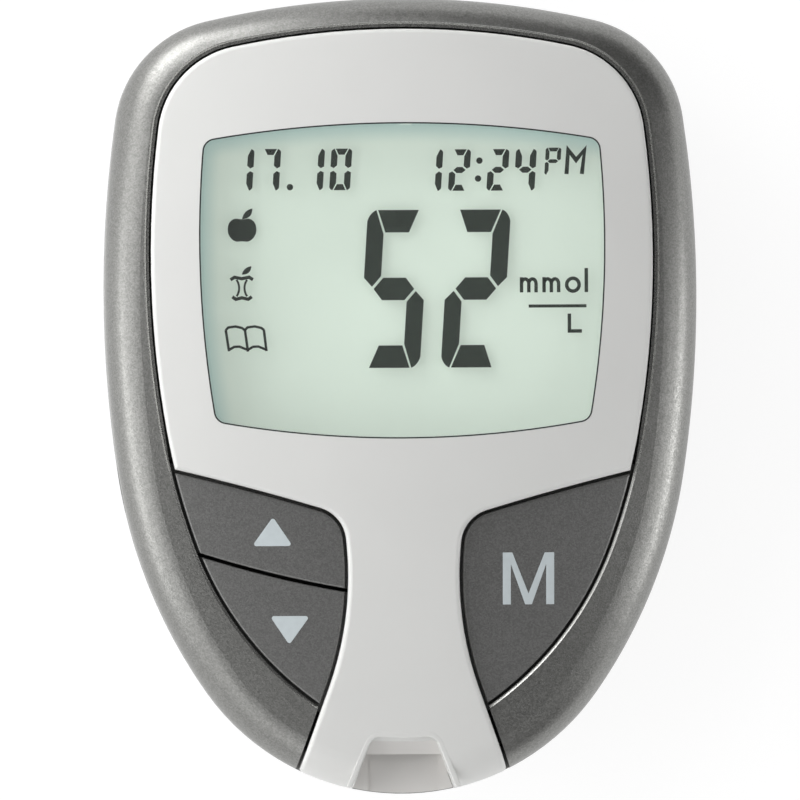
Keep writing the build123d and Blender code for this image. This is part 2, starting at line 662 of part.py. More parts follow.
def make_rear_cover():
    """Rear half of the case with the battery tray, the screw bosses and the hole for the data jack."""
    blank = back_blank(0, 0)
    room = back_blank(REAR_WALL, REAR_FLOOR, high=REACH)
    cover = blank - (room & above(REAR_FLOOR))
    lip = case_face(-RIM_WALL - FIT_GAP) - case_face(-REAR_WALL)
    lip -= guide_band(COVER_GAP)
    cover += prism(lip, PARTING_Z - LIP_HEIGHT, PARTING_Z + LIP_HEIGHT)
    tray = Pos(0, BAY_START_Y - BAY_WALL + REACH / 2) * Rectangle(2 * REACH, REACH)
    cover += prism(tray, -REACH, TRAY_TOP_Z) & blank
    end_wall = bay_face() - case_face(-REAR_WALL)
    cover -= prism(bay_face(), -REACH, TRAY_UNDER_Z) + prism(end_wall, -REACH, COVER_TOP_Z)
    cover += make_cell_pocket()
    cover -= both_sides(rail_block(RAIL_CLEARANCE, [(RAIL_SPANS[0][0], REACH)]))
    for place in SCREW_PLACES:
        cover += post(place, BOSS_RADIUS, -REACH, BOARD_UNDER_Z) & blank
        cover -= post(place, SCREW_RADIUS + SCREW_GAP, -REACH, REACH)
        cover -= post(place, SCREW_HEAD_RADIUS + SCREW_GAP, -REACH, SCREW_HEAD_Z)
    hole = Cylinder(JACK_COLLAR + JACK_COLLAR_GAP, REACH, align=ON_BASE)
    cover -= Pos(JACK_SHOULDER_X, JACK_Y, JACK_Z) * Rot(0, -90, 0) * hole
    return cover & above(0)


def make_cell_pocket():
    """Low walls on the tray floor that hold the two cells in place."""
    reach_y = CELL_RADIUS + CELL_POCKET_GAP + POCKET_WALL
    reach_x = CELL_X + reach_y
    z_range = (TRAY_UNDER_Z - POCKET_HEIGHT, TRAY_UNDER_Z)
    pocket = block((-reach_x, reach_x), (CELL_Y - reach_y, CELL_Y + reach_y), z_range)
    for x in (-CELL_X, CELL_X):
        pocket -= post((x, CELL_Y), CELL_RADIUS + CELL_POCKET_GAP, 0, REACH)
        pocket -= block((x - CLIP_ROOM, x + CLIP_ROOM), (CELL_Y, REACH), (0, REACH))
    return pocket


def rail_block(clearance, spans):
    """Rails of the battery cover on the right, or with a clearance the groove that they run in."""
    inner = BAY_HALF_WIDTH - COVER_GAP - clearance
    outer = BAY_HALF_WIDTH - COVER_GAP + RAIL_DEPTH + clearance
    z_range = (RAIL_Z - clearance, RAIL_Z + RAIL_HEIGHT + clearance)
    rails = [block((inner, outer), (start - clearance, end + clearance), z_range) for start, end in spans]
    return Compound(rails) if len(rails) > 1 else rails[0]


def make_battery_cover():
    """Sliding cover of the battery bay, which takes the top end of the case with it."""
    zone = prism(bay_face(COVER_GAP), -REACH, COVER_TOP_Z - COVER_GAP)
    cover = (back_blank(0, 0) & zone) - back_blank(COVER_WALL, COVER_WALL, high=REACH)
    side = BAY_HALF_WIDTH - COVER_GAP
    lip = block((side - RAIL_LIP, side), (RAIL_SPANS[0][0], RAIL_SPANS[-1][1]), (-REACH, RAIL_TOP_Z))
    lip = lip & back_blank(0, 0)
    for start, end in RAIL_SPANS:
        lip += block((side, side + RAIL_DEPTH), (start, end), (RAIL_Z, RAIL_Z + RAIL_HEIGHT))
    cover += both_sides(lip)
    cover = cover & above(0)
    for index in range(GRIP_COUNT):
        y = GRIP_START_Y + GRIP_PITCH * index
        cover -= block((-GRIP_LENGTH / 2, GRIP_LENGTH / 2), (y, y + GRIP_WIDTH), (-REACH, GRIP_DEPTH))
    return cover


def make_positive_clips():
    """Side contacts that press on the rims of the cells."""
    edge = CELL_Y + CELL_RADIUS + CELL_POCKET_GAP / 2
    clips = []
    for x in (-CELL_X, CELL_X):
        width = (x - CLIP_HALF_WIDTH, x + CLIP_HALF_WIDTH)
        blade = block(width, (edge, edge + CONTACT_SHEET), (CELL_Z + CELL_HEIGHT / 3, TRAY_UNDER_Z))
        foot = block(width, (edge, edge + CLIP_FOOT), (TRAY_UNDER_Z - CONTACT_SHEET, TRAY_UNDER_Z))
        clips.append(blade + foot)
    return clips


def make_negative_springs():
    """Centre contacts on the tray floor."""
    springs = []
    for x in (-CELL_X, CELL_X):
        sheet = Box(*SPRING_SIZE, CONTACT_SHEET, align=ON_BASE)
        strip = Pos(x, CELL_Y, TRAY_UNDER_Z - CONTACT_SHEET) * sheet
        touch_z = CELL_Z + CELL_HEIGHT + FIT_GAP
        springs.append(strip + post((x, CELL_Y), SPRING_BUTTON, touch_z, TRAY_UNDER_Z - CONTACT_SHEET))
    return springs


def make_coin_cell(x):
    """CR2032 cell: a can with a smaller cap on the tray side."""
    shoulder_z = CELL_Z + CELL_HEIGHT - CELL_CAP_HEIGHT
    can = post((x, CELL_Y), CELL_RADIUS, CELL_Z, shoulder_z)
    can = fillet(can.edges().sort_by(Axis.Z)[0], CELL_CAP_HEIGHT)
    return can + post((x, CELL_Y), CELL_RADIUS - CELL_CAP_INSET, shoulder_z, CELL_Z + CELL_HEIGHT)


def make_data_jack():
    """Jack body under the board with a round collar in the side wall."""
    middle = Pos((JACK_SHOULDER_X + JACK_BACK_X) / 2, JACK_Y, JACK_Z)
    body = middle * Box(JACK_BACK_X - JACK_SHOULDER_X, 2 * JACK_HALF, 2 * JACK_HALF)
    along = Pos(JACK_FACE_X, JACK_Y, JACK_Z) * Rot(0, 90, 0)
    collar = along * Cylinder(JACK_COLLAR, JACK_SHOULDER_X - JACK_FACE_X, align=ON_BASE)
    bore = along * Cylinder(JACK_BORE, JACK_BORE_LENGTH, align=ON_BASE)
    return body + collar - bore


def make_case_screws():
    """Four self-tapping screws driven from the back into the inner frame."""
    screws = []
    for place in SCREW_PLACES:
        head = post(place, SCREW_HEAD_RADIUS, SCREW_HEAD_Z - SCREW_HEAD_HEIGHT, SCREW_HEAD_Z)
        shank = post(place, SCREW_RADIUS, SCREW_HEAD_Z, SCREW_HEAD_Z + SCREW_LENGTH)
        recess = post(place, SCREW_RADIUS / 2, 0, SCREW_HEAD_Z - SCREW_HEAD_HEIGHT / 2)
        screws.append(head + shank - recess)
    return screws


def build_parts():
    """Every node by name."""
    regions = key_regions()
    parts = {
        "front_cover": make_front_cover(),
        "rim_frame": make_rim_frame(),
        "display_lens": make_display_lens(),
        "lens_gasket": make_lens_gasket(),
        "inner_frame": make_inner_frame(regions),
        "lcd_front_glass": block(*glass_range(FRONT_GLASS_TOP_Y), (REAR_GLASS_TOP_Z, GLASS_TOP_Z)),
        "lcd_rear_glass": block(*glass_range(REAR_GLASS_TOP_Y), (REFLECTOR_TOP_Z, REAR_GLASS_TOP_Z)),
        "lcd_reflector": block(*glass_range(REAR_GLASS_TOP_Y), (HOLDER_FLOOR_Z, REFLECTOR_TOP_Z)),
        "lcd_holder": make_lcd_holder(),
        "zebra_strip": zebra_block(),
        "main_board": make_main_board(),
        "processor_chip": on_board(CHIP_PLACE, CHIP_SIZE),
        "sensor_chip": on_board(SENSOR_CHIP_PLACE, SENSOR_CHIP_SIZE),
        "clock_crystal": on_board(CRYSTAL_PLACE, CRYSTAL_SIZE),
        "board_passives": Compound(make_board_passives()),
        "buzzer": post(BUZZER_PLACE, BUZZER_RADIUS, BOARD_UNDER_Z - BUZZER_HEIGHT, BOARD_UNDER_Z),
        "strip_guide": make_strip_guide(),
        "strip_connector": make_strip_connector(),
        "strip_contacts": Compound(make_strip_contacts()),
        "rear_cover": make_rear_cover(),
        "battery_cover": make_battery_cover(),
        "coin_cell_left": make_coin_cell(-CELL_X),
        "coin_cell_right": make_coin_cell(CELL_X),
        "positive_clips": Compound(make_positive_clips()),
        "negative_springs": Compound(make_negative_springs()),
        "data_jack": make_data_jack(),
        "case_screws": Compound(make_case_screws()),
    }
    for name, (cap, flange, centre) in regions.items():
        parts[name] = make_key(cap, flange, centre)
        parts[name.replace("key", "dome")] = make_dome(centre)
    return parts


def main():
    os.makedirs("parts", exist_ok=True)
    for name, shape in build_parts().items():
        export_step(shape, os.path.join("parts", name + ".step"))


if __name__ == "__main__":
    main()
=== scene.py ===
import math

import bpy
import numpy as np
from bpy.props import FloatProperty, FloatVectorProperty, PointerProperty, StringProperty
from mathutils import Matrix, Vector
from mathutils.geometry import delaunay_2d_cdt


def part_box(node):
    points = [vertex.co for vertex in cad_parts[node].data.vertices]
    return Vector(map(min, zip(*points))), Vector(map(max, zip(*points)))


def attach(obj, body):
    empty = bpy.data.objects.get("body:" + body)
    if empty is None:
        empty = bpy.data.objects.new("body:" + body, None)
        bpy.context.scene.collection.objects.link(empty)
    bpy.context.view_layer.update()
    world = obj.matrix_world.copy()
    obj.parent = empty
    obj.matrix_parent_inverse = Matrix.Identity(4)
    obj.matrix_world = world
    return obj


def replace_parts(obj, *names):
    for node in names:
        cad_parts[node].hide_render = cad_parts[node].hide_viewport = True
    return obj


bl_info = {
    "name": "Blood glucose meter",
    "version": (1, 0, 0),
    "blender": (4, 5, 0),
    "location": "3D view > Sidebar > Meter",
    "description": "Finishes, display figures, key marks and screws of a blood glucose meter",
    "category": "Object",
}

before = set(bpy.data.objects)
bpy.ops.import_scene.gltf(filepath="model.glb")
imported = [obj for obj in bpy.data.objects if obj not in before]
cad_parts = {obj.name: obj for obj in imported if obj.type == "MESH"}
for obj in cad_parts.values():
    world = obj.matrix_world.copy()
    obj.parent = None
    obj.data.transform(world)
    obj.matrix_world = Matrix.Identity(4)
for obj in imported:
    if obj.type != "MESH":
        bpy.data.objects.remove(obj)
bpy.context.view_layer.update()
MM = 0.001

# Front surface, which the marks on the keys lie on: a barrel round two axes, in millimetres.
FRONT_APEX_Y = 8.0
FRONT_APEX_Z = 23.0
FRONT_ACROSS = 120.0
FRONT_ALONG = 180.0
KEY_DROP = 0.8              # the keys and the rim lie this far below the plate

# Display: the figures lie in the slit between the two glasses.
FIGURE_Z = 17.19
FIGURE_THICKNESS = 0.02
PANE_GAP = 0.015            # air on either side of a glass
PANE_CHAMFER = 0.08

# Window in the front plate, in millimetres: it lies inside four large circles, and its corners are rounded.
WINDOW_HALF_WIDTH = 19.6
WINDOW_TOP_Y = 26.45
WINDOW_BOTTOM_Y = -4.07
WINDOW_WIDEST_Y = 15.0
WINDOW_SIDE_RADIUS = 102.0
WINDOW_TOP_RADIUS = 112.0
WINDOW_BOTTOM_RADIUS = 100.0
WINDOW_CORNER = 1.3
LENS_GAP = 0.1

# Plate outline, in millimetres: a chain of tangent arcs from the top end round to the nose.
PLATE_HALF_WIDTH = 24.2
PLATE_TOP_Y = 35.45
PLATE_NOSE_Y = -32.1
PLATE_WIDEST_Y = 13.5
PLATE_TOP_RADIUS = 80.0
PLATE_CORNER_RADIUS = 9.1
PLATE_SIDE_RADIUS = 97.0
PLATE_FLANKS = ((64.0, -10.0), (32.0, -20.3))     # radius, and the direction in degrees where that arc begins
CHAIN_STEPS = 40            # points on each arc

# Stem of the plate between the keys, in millimetres: its edge is an arc round its narrowest place, then straight.
STEM_HALF_WIDTH = 5.35
STEM_NARROW_Y = -17.3
STEM_RADIUS = 32.0
STEM_STRAIGHT_Y = -28.0
STEM_LEAN = 0.355
STEM_SEAM = 0.36

# Bevelled ledge of the rim: it widens from beside the keys to beside the display between these heights.
LEDGE_KEYS_Y = -8.0
LEDGE_DISPLAY_Y = -2.0
LEDGE_MIDDLE = 0.6          # growth of the plate's outline at which the ledge meets the stem

# Case screws, in millimetres: their places, the height of the head, the shank's radius and the thread's pitch.
SCREW_PLACES = [(22.8, -3.0), (-22.8, -3.0), (12.5, -28.5), (-12.5, -28.5)]
SCREW_HEAD = 1.3
SCREW_SHANK = 0.9
SCREW_PITCH = 0.8

# Stage, in metres: how far the lamps stand from the meter, and the point that the camera looks at.
LAMP_DISTANCE = 0.5
LAMP_AIM = (0, 0, 0.015)
CAMERA_AIM = (-0.00003, -0.00034, 0.012)


def colour(name, default, description):
    """Colour property of a finish, in linear light."""
    return FloatVectorProperty(
        name=name, description=description, subtype="COLOR", size=3, min=0, max=1, default=default)


def length(name, default, description):
    """Length property in metres."""
    return FloatProperty(name=name, description=description, unit="LENGTH", min=0, precision=5, default=default)


class MeterShellSettings(bpy.types.PropertyGroup):
    """Colours and finish of the housing."""

    plate: colour("Front plate", (0.752, 0.754, 0.738), "White plastic of the T-shaped front")
    port: colour("Strip port", (0.76, 0.745, 0.725), "Pale plastic of the insert in the notch")
    paint: colour("Rim paint", (0.25, 0.25, 0.24), "Grey metallic paint of the rim")
    edge: colour("Rim edge", (0.38, 0.38, 0.367), "Bright metallic bevel along the rim's inner edge")
    keys: colour("Keys", (0.184, 0.184, 0.180), "Dark grey paint of the three keys")
    rear: colour("Rear shell", (0.30, 0.30, 0.295), "Grey plastic of the back and the battery cover")
    flake: length("Flake size", 0.00013, "Size of the flakes in the metallic paint")
    grain: length("Grain size", 0.00010, "Size of the fine moulded texture on the plastic")


class MeterDisplaySettings(bpy.types.PropertyGroup):
    """Colours and figure sizes of the display."""

    background: colour("Background", (0.41, 0.445, 0.41), "Pale green of the reflector behind the glass")
    # painted light: the reflector film glows, though the meter has no backlight, to brighten the deep-set display
    glow: colour("Glow", (0.40, 0.445, 0.402), "Light that the transflective film gives back by itself")
    ink: colour("Figures", (0.014, 0.021, 0.015), "Dark grey-green of the figures")
    reading: StringProperty(name="Reading", description="Large figures", default="52")
    date: StringProperty(name="Date", description="Figures at the top left", default="17.10")
    time: StringProperty(name="Time", description="Figures at the top right", default="12:24")
    reading_height: length("Reading height", 0.01520, "Height of the large figures")
    small_height: length("Small height", 0.00400, "Height of the date and time")


class MeterMarkSettings(bpy.types.PropertyGroup):
    """Printed marks on the keys."""

    ink: colour("Key marks", (0.58, 0.64, 0.66), "Light grey print on the keys")
    thickness: length("Print thickness", 0.00003, "How far the print stands above the key")
    corner: length("Triangle corner", 0.00022, "Rounding of the arrow triangles")
    stroke: length("Letter stroke", 0.00078, "Stroke of the letter on the memory key")


class MeterStageSettings(bpy.types.PropertyGroup):
    """Camera: its lens, view width, yaw and roll."""

    lens: FloatProperty(name="Lens", description="Focal length in millimetres", min=50, default=1000)
    view_width: length("View width", 0.07744, "Width that the camera sees at the case's parting line")
    yaw: FloatProperty(name="Yaw", description="Turn of the camera to the left", subtype="ANGLE",
                       default=math.radians(1.7))
    roll: FloatProperty(name="Roll", description="Roll of the camera", subtype="ANGLE", default=math.radians(0.31))


# Meshes -----------------------------------------------------------------------------------------------------------


def new_piece(name, parts, material, body):
    """One object from a list of (points in millimetres, faces), finished and riding on a body."""
    points, faces, base = [], [], 0
    for part_points, part_faces in parts:
        points.append(part_points)
        faces += [[index + base for index in face] for face in part_faces]
        base += len(part_points)
    mesh = bpy.data.meshes.new(name)
    mesh.from_pydata((np.vstack(points) * MM).tolist(), [], faces)
    mesh.validate()
    piece = bpy.data.objects.new(name, mesh)
    bpy.context.scene.collection.objects.link(piece)
    mesh.materials.append(material)
    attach(piece, body)
    return piece


def loft(outlines, heights):
    """Solid through a stack of outlines, counter-clockwise in plan, each at its height, closed at both ends."""
    count = len(outlines[0])
    points = np.vstack([np.column_stack([outline, np.full(count, z)]) for outline, z in zip(outlines, heights)])
    index = np.arange(count)
    onward = np.roll(index, -1)
    rows = np.arange(len(outlines) - 1)[:, None, None] * count
    sides = (np.column_stack([index, onward, onward + count, index + count])[None] + rows).reshape(-1, 4)
    return points, [index[::-1].tolist(), (index + len(points) - count).tolist()] + sides.tolist()


def prism(outline, low, high):
    """Flat plate: the outline drawn up from the height low to the height high."""
    return loft([outline, outline], [low, high])


def bar(path, width, low, high, closed=False):
    """Flat bar: a rectangle carried along a path in plan, half the width to each side of its mitred normals."""
    path = np.asarray(path, float)
    before, after = (np.roll(path, 1, 0), np.roll(path, -1, 0)) if closed else (
        np.vstack([2 * path[0] - path[1], path[:-1]]), np.vstack([path[1:], 2 * path[-1] - path[-2]]))
    into = (path - before) / np.linalg.norm(path - before, axis=1)[:, None]
    out = (after - path) / np.linalg.norm(after - path, axis=1)[:, None]
    along = into + out
    along /= np.linalg.norm(along, axis=1)[:, None]
    normal = np.column_stack([-along[:, 1], along[:, 0]])
    reach = width / 2 / np.maximum((normal * np.column_stack([-into[:, 1], into[:, 0]])).sum(1), 0.4)
    left, right = path + normal * reach[:, None], path - normal * reach[:, None]
    if not closed:
        return prism(np.vstack([right, left[::-1]]), low, high)
    return band([np.column_stack([side, np.full(len(path), z)]) for side, z in
                 ((left, low), (left, high), (right, high), (right, low))], closed=True)


def bearings(degrees):
    """Unit vectors at angles in degrees."""
    angle = np.radians(degrees)
    return np.stack([np.cos(angle), np.sin(angle)], -1)


def arc(centre, radii, start, end, count):
    """Points on an ellipse round the centre, from one angle in degrees to another."""
    return np.array(centre) + bearings(np.linspace(start, end, count)) * radii


def front_height(x, y, drop):
    """Height of the front surface sunk by drop: an arc along the case, swung round an axis below it across."""
    along = np.sqrt((FRONT_ALONG - drop) ** 2 - (y - FRONT_APEX_Y) ** 2)
    hub = FRONT_ALONG - FRONT_ACROSS
    return FRONT_APEX_Z - FRONT_ACROSS + np.sqrt((along - hub) ** 2 - x ** 2)


def on_front(plan, drop):
    """Places in plan, each with the height of the front surface sunk by drop."""
    return np.column_stack([plan, front_height(plan[:, 0], plan[:, 1], drop)])


def heading(vector):
    """Direction of a vector in degrees."""
    return math.degrees(math.atan2(vector[1], vector[0]))


def meeting(first, first_gap, second, second_gap, wanted):
    """Of the two points at given distances from two centres, the one that lies further in a wanted direction."""
    apart = second - first
    span = np.linalg.norm(apart)
    along = (first_gap ** 2 - second_gap ** 2 + span ** 2) / (2 * span)
    foot = first + apart * along / span
    across = np.array([-apart[1], apart[0]]) / span * math.sqrt(first_gap ** 2 - along ** 2)
    return max(foot + across, foot - across, key=lambda place: place @ wanted)


def window_outline(grow):
    """Outline of the window grown by grow: an arc along each side, and one of the corner radius where two meet.

    The centre of a corner lies the corner radius inside both of its sides' circles, so each of its ends is on the
    line from a side's centre through it.
    """
    sides = [
        (np.array([WINDOW_HALF_WIDTH - WINDOW_SIDE_RADIUS, WINDOW_WIDEST_Y]), WINDOW_SIDE_RADIUS),
        (np.array([0.0, WINDOW_TOP_Y - WINDOW_TOP_RADIUS]), WINDOW_TOP_RADIUS),
        (np.array([WINDOW_SIDE_RADIUS - WINDOW_HALF_WIDTH, WINDOW_WIDEST_Y]), WINDOW_SIDE_RADIUS),
        (np.array([0.0, WINDOW_BOTTOM_Y + WINDOW_BOTTOM_RADIUS]), WINDOW_BOTTOM_RADIUS),
    ]
    corners = []
    for index, (here, radius) in enumerate(sides):
        there, other = sides[(index + 1) % 4]
        corners.append(meeting(here, radius - WINDOW_CORNER, there, other - WINDOW_CORNER, bearings(45 + 90 * index)))
    outline = []
    for index, (here, radius) in enumerate(sides):
        start, end = heading(corners[index - 1] - here) % 360, heading(corners[index] - here) % 360
        end += 360 if end < start else 0
        outline.append(arc(here, (radius + grow,) * 2, start, end, 60)[1:-1])
        leave = heading(corners[index] - sides[(index + 1) % 4][0]) % 360
        leave += 360 if leave < end % 360 else 0
        outline.append(arc(corners[index], (WINDOW_CORNER + grow,) * 2, end % 360, leave, 12))
    return np.vstack(outline)


def plate_chain():
    """Right half of the plate's outline from the top to the nose: the centre, radius and bearing of each of its points.

    The corner's centre lies the corner radius inside the circles of the top and the side. Each flank's centre lies on
    the line along which it takes over, and the nose's circle touches the last flank and the nose.
    """
    top = np.array([0.0, PLATE_TOP_Y - PLATE_TOP_RADIUS])
    side = np.array([PLATE_HALF_WIDTH - PLATE_SIDE_RADIUS, PLATE_WIDEST_Y])
    corner = meeting(top, PLATE_TOP_RADIUS - PLATE_CORNER_RADIUS, side, PLATE_SIDE_RADIUS - PLATE_CORNER_RADIUS, (1, 0))
    bearing = [90.0, heading(corner - top), heading(corner - side)]
    centres, radii = [top, corner, side], [PLATE_TOP_RADIUS, PLATE_CORNER_RADIUS, PLATE_SIDE_RADIUS]
    for radius, begins in PLATE_FLANKS:
        centres.append(centres[-1] + bearings(begins) * (radii[-1] - radius))
        radii.append(radius)
        bearing.append(begins)
    x, drop = centres[-1][0], centres[-1][1] - PLATE_NOSE_Y
    nose = (x ** 2 + drop ** 2 - radii[-1] ** 2) / (2 * (drop - radii[-1]))
    centres.append(np.array([0.0, PLATE_NOSE_Y + nose]))
    radii.append(nose)
    bearing += [heading(centres[-1] - centres[-2]), -90.0]
    steps = [np.linspace(start, end, CHAIN_STEPS + 1)[:-1] for start, end in zip(bearing, bearing[1:])]
    return np.repeat(centres, CHAIN_STEPS, 0), np.repeat(radii, CHAIN_STEPS), np.concatenate(steps)


def band(rows, closed=False):
    """Band: the points of a profile carried along a line, which is closed or has a cap at each end.

    Each row holds the places that one point of the profile takes along the line.
    """
    index = np.arange(len(rows) * len(rows[0])).reshape(len(rows), -1)
    onward = np.roll(index, -1, 0)
    sides = np.stack([index, onward, np.roll(onward, -1, 1), np.roll(index, -1, 1)], -1)
    if closed:
        return np.vstack(rows), sides.reshape(-1, 4).tolist()
    return np.vstack(rows), sides[:, :-1].reshape(-1, 4).tolist() + [index[:, 0].tolist(), index[::-1, -1].tolist()]


def draped(outline, pitch, thickness, depth):
    """Print on a key: the outline filled with a grid of points and laid on the front surface.

    Its top lies thickness above the surface and its underside depth below it, with a wall round the outline.
    """
    outline = np.asarray(outline, float)
    low, high = outline.min(0), outline.max(0)
    grid = np.stack(np.meshgrid(*[np.arange(a + pitch / 2, b, pitch) for a, b in zip(low, high)]), -1).reshape(-1, 2)
    rim = np.arange(len(outline))
    onward = np.roll(rim, -1)
    filled = delaunay_2d_cdt([Vector(p) for p in np.vstack([outline, grid]).tolist()],
                             np.column_stack([rim, onward]).tolist(), [rim.tolist()], 1, 1e-6)
    # the outline's points come first in what the filling returns, and points outside it are in no face
    used, top = np.unique(np.array(filled[2]), return_inverse=True)
    top = top.reshape(-1, 3)
    plan = np.array([p[:] for p in filled[0]])[used]
    walls = np.column_stack([rim + len(used), onward + len(used), onward, rim])
    points = np.vstack([on_front(plan, KEY_DROP) + (0, 0, thickness), on_front(plan, KEY_DROP) - (0, 0, depth)])
    return points, top.tolist() + (top[:, ::-1] + len(used)).tolist() + walls.tolist()


# Display figures --------------------------------------------------------------------------------------------------

# Bars that each character lights: a at the top, b to f clockwise from it and g in the middle.
LIT = {
    "0": "abcdef", "1": "bc", "2": "abged", "3": "abgcd", "4": "fgbc", "5": "afgcd", "6": "afgedc", "7": "abc",
    "8": "abcdefg", "9": "abcdfg", "P": "abfge",
}


def segments(width, height, side, cross, gap):
    """Outlines of the seven bars a to g of a figure, upright and centred, with mitred ends and rounded outer corners.

    side is the thickness of the upright bars and cross that of the level ones.
    """
    w, h = width / 2, height / 2
    middle = w - side / 2
    top = [(-middle + gap, h), (-w + side + gap, h - cross), (w - side - gap, h - cross), (middle - gap, h)]
    corner = arc((middle, h - 0.5 * cross), (side / 2, 0.5 * cross), 0, 90, 7)
    corner += 0.4 * (np.linspace(corner[0], corner[-1], 7) - corner)
    upper = np.vstack([
        [(middle, 1.3 * gap), (w, cross / 2)], corner, [(w - side, h - cross - gap), (w - side, cross / 2 + gap)]])
    level = [(-middle + gap, 0), (-w + side + gap * 1.3, -cross / 2), (w - side - gap * 1.3, -cross / 2),
             (middle - gap, 0), (w - side - gap * 1.3, cross / 2), (-w + side + gap * 1.3, cross / 2)]
    flip_x, flip_y = np.array([-1, 1]), np.array([1, -1])
    return {
        "a": np.array(top), "b": upper, "c": (upper * flip_y)[::-1], "d": (np.array(top) * flip_y)[::-1],
        "e": upper * -1, "f": (upper * flip_x)[::-1], "g": np.array(level),
    }


def flat(outline):
    """Plate of the display, in the slit between the two glasses."""
    return prism(outline, FIGURE_Z, FIGURE_Z + FIGURE_THICKNESS)


def figure(character, centre, width, height, side, cross, gap, slant):
    """Bars of one figure, leaned to the right by slant, as plates."""
    bars = segments(width, height, side, cross, gap)
    lean = np.array([[1, 0], [slant, 1]])
    return [flat(bars[name] @ lean + np.array(centre)) for name in LIT[character]]


def dot(centre, radius):
    """Round point."""
    return flat(arc(centre, (radius, radius), 0, 345, 24))


def stroke(path, width, closed=False):
    """Bar of the display along a path."""
    return bar(path, width, FIGURE_Z, FIGURE_Z + FIGURE_THICKNESS, closed)


def leaf(foot, tip, belly):
    """Leaf between two points: two arcs whose middles stand off by belly of the length."""
    foot, tip = np.array(foot), np.array(tip)
    t = np.linspace(0, 1, 9)[:, None]
    across = np.array([-(tip - foot)[1], (tip - foot)[0]])
    bow = 4 * t * (1 - t) * belly
    one = foot + (tip - foot) * t - across * bow
    other = foot + (tip - foot) * t + across * bow * 0.7
    return flat(np.vstack([one, other[-2:0:-1]]))


def fruit(centre, radii):
    """Whole fruit: a superellipse of power 2.5 that narrows downwards, with a dent at the top and one at the bottom."""
    angle = np.radians(np.arange(0, 360, 7.5))
    dent = 0.13 * np.exp(-((angle - math.pi / 2) / 0.30) ** 2) + 0.10 * np.exp(-((angle - 1.5 * math.pi) / 0.30) ** 2)
    across = np.sign(np.cos(angle)) * np.abs(np.cos(angle)) ** 0.8
    along = np.sign(np.sin(angle)) * np.abs(np.sin(angle)) ** 0.8
    narrow = 1 - 0.16 * np.clip(-along, 0, 1) ** 1.5
    points = np.column_stack([radii[0] * across * narrow, radii[1] * along * (1 - dent)])
    return flat(points + np.array(centre))


def letter_m(left, foot, width, height, line):
    """Small letter m: a stem and two arches."""
    half = width / 2
    rise = 0.42 * height
    parts = [stroke([(left, foot), (left, foot + height)], line)]
    for index in range(2):
        start = left + index * half
        hump = arc((start + half / 2, foot + height - rise), (half / 2, rise - line / 2), 170, 0, 9)
        parts.append(stroke(np.vstack([hump, [(start + half, foot)]]), line))
    return parts


# Materials --------------------------------------------------------------------------------------------------------


class Net:
    """The nodes of a material or of the world."""

    def __init__(self, owner):
        owner.use_nodes = True
        self.nodes, self.links = owner.node_tree.nodes, owner.node_tree.links

    def node(self, kind, inputs=None, **settings):
        """New node with settings and inputs, where an input that is a socket is linked."""
        made = self.nodes.new("ShaderNode" + kind)
        for key, value in settings.items():
            setattr(made, key, value)
        for key, value in (inputs or {}).items():
            if isinstance(value, bpy.types.NodeSocket):
                self.links.new(value, made.inputs[key])
            else:
                made.inputs[key].default_value = value
        return made


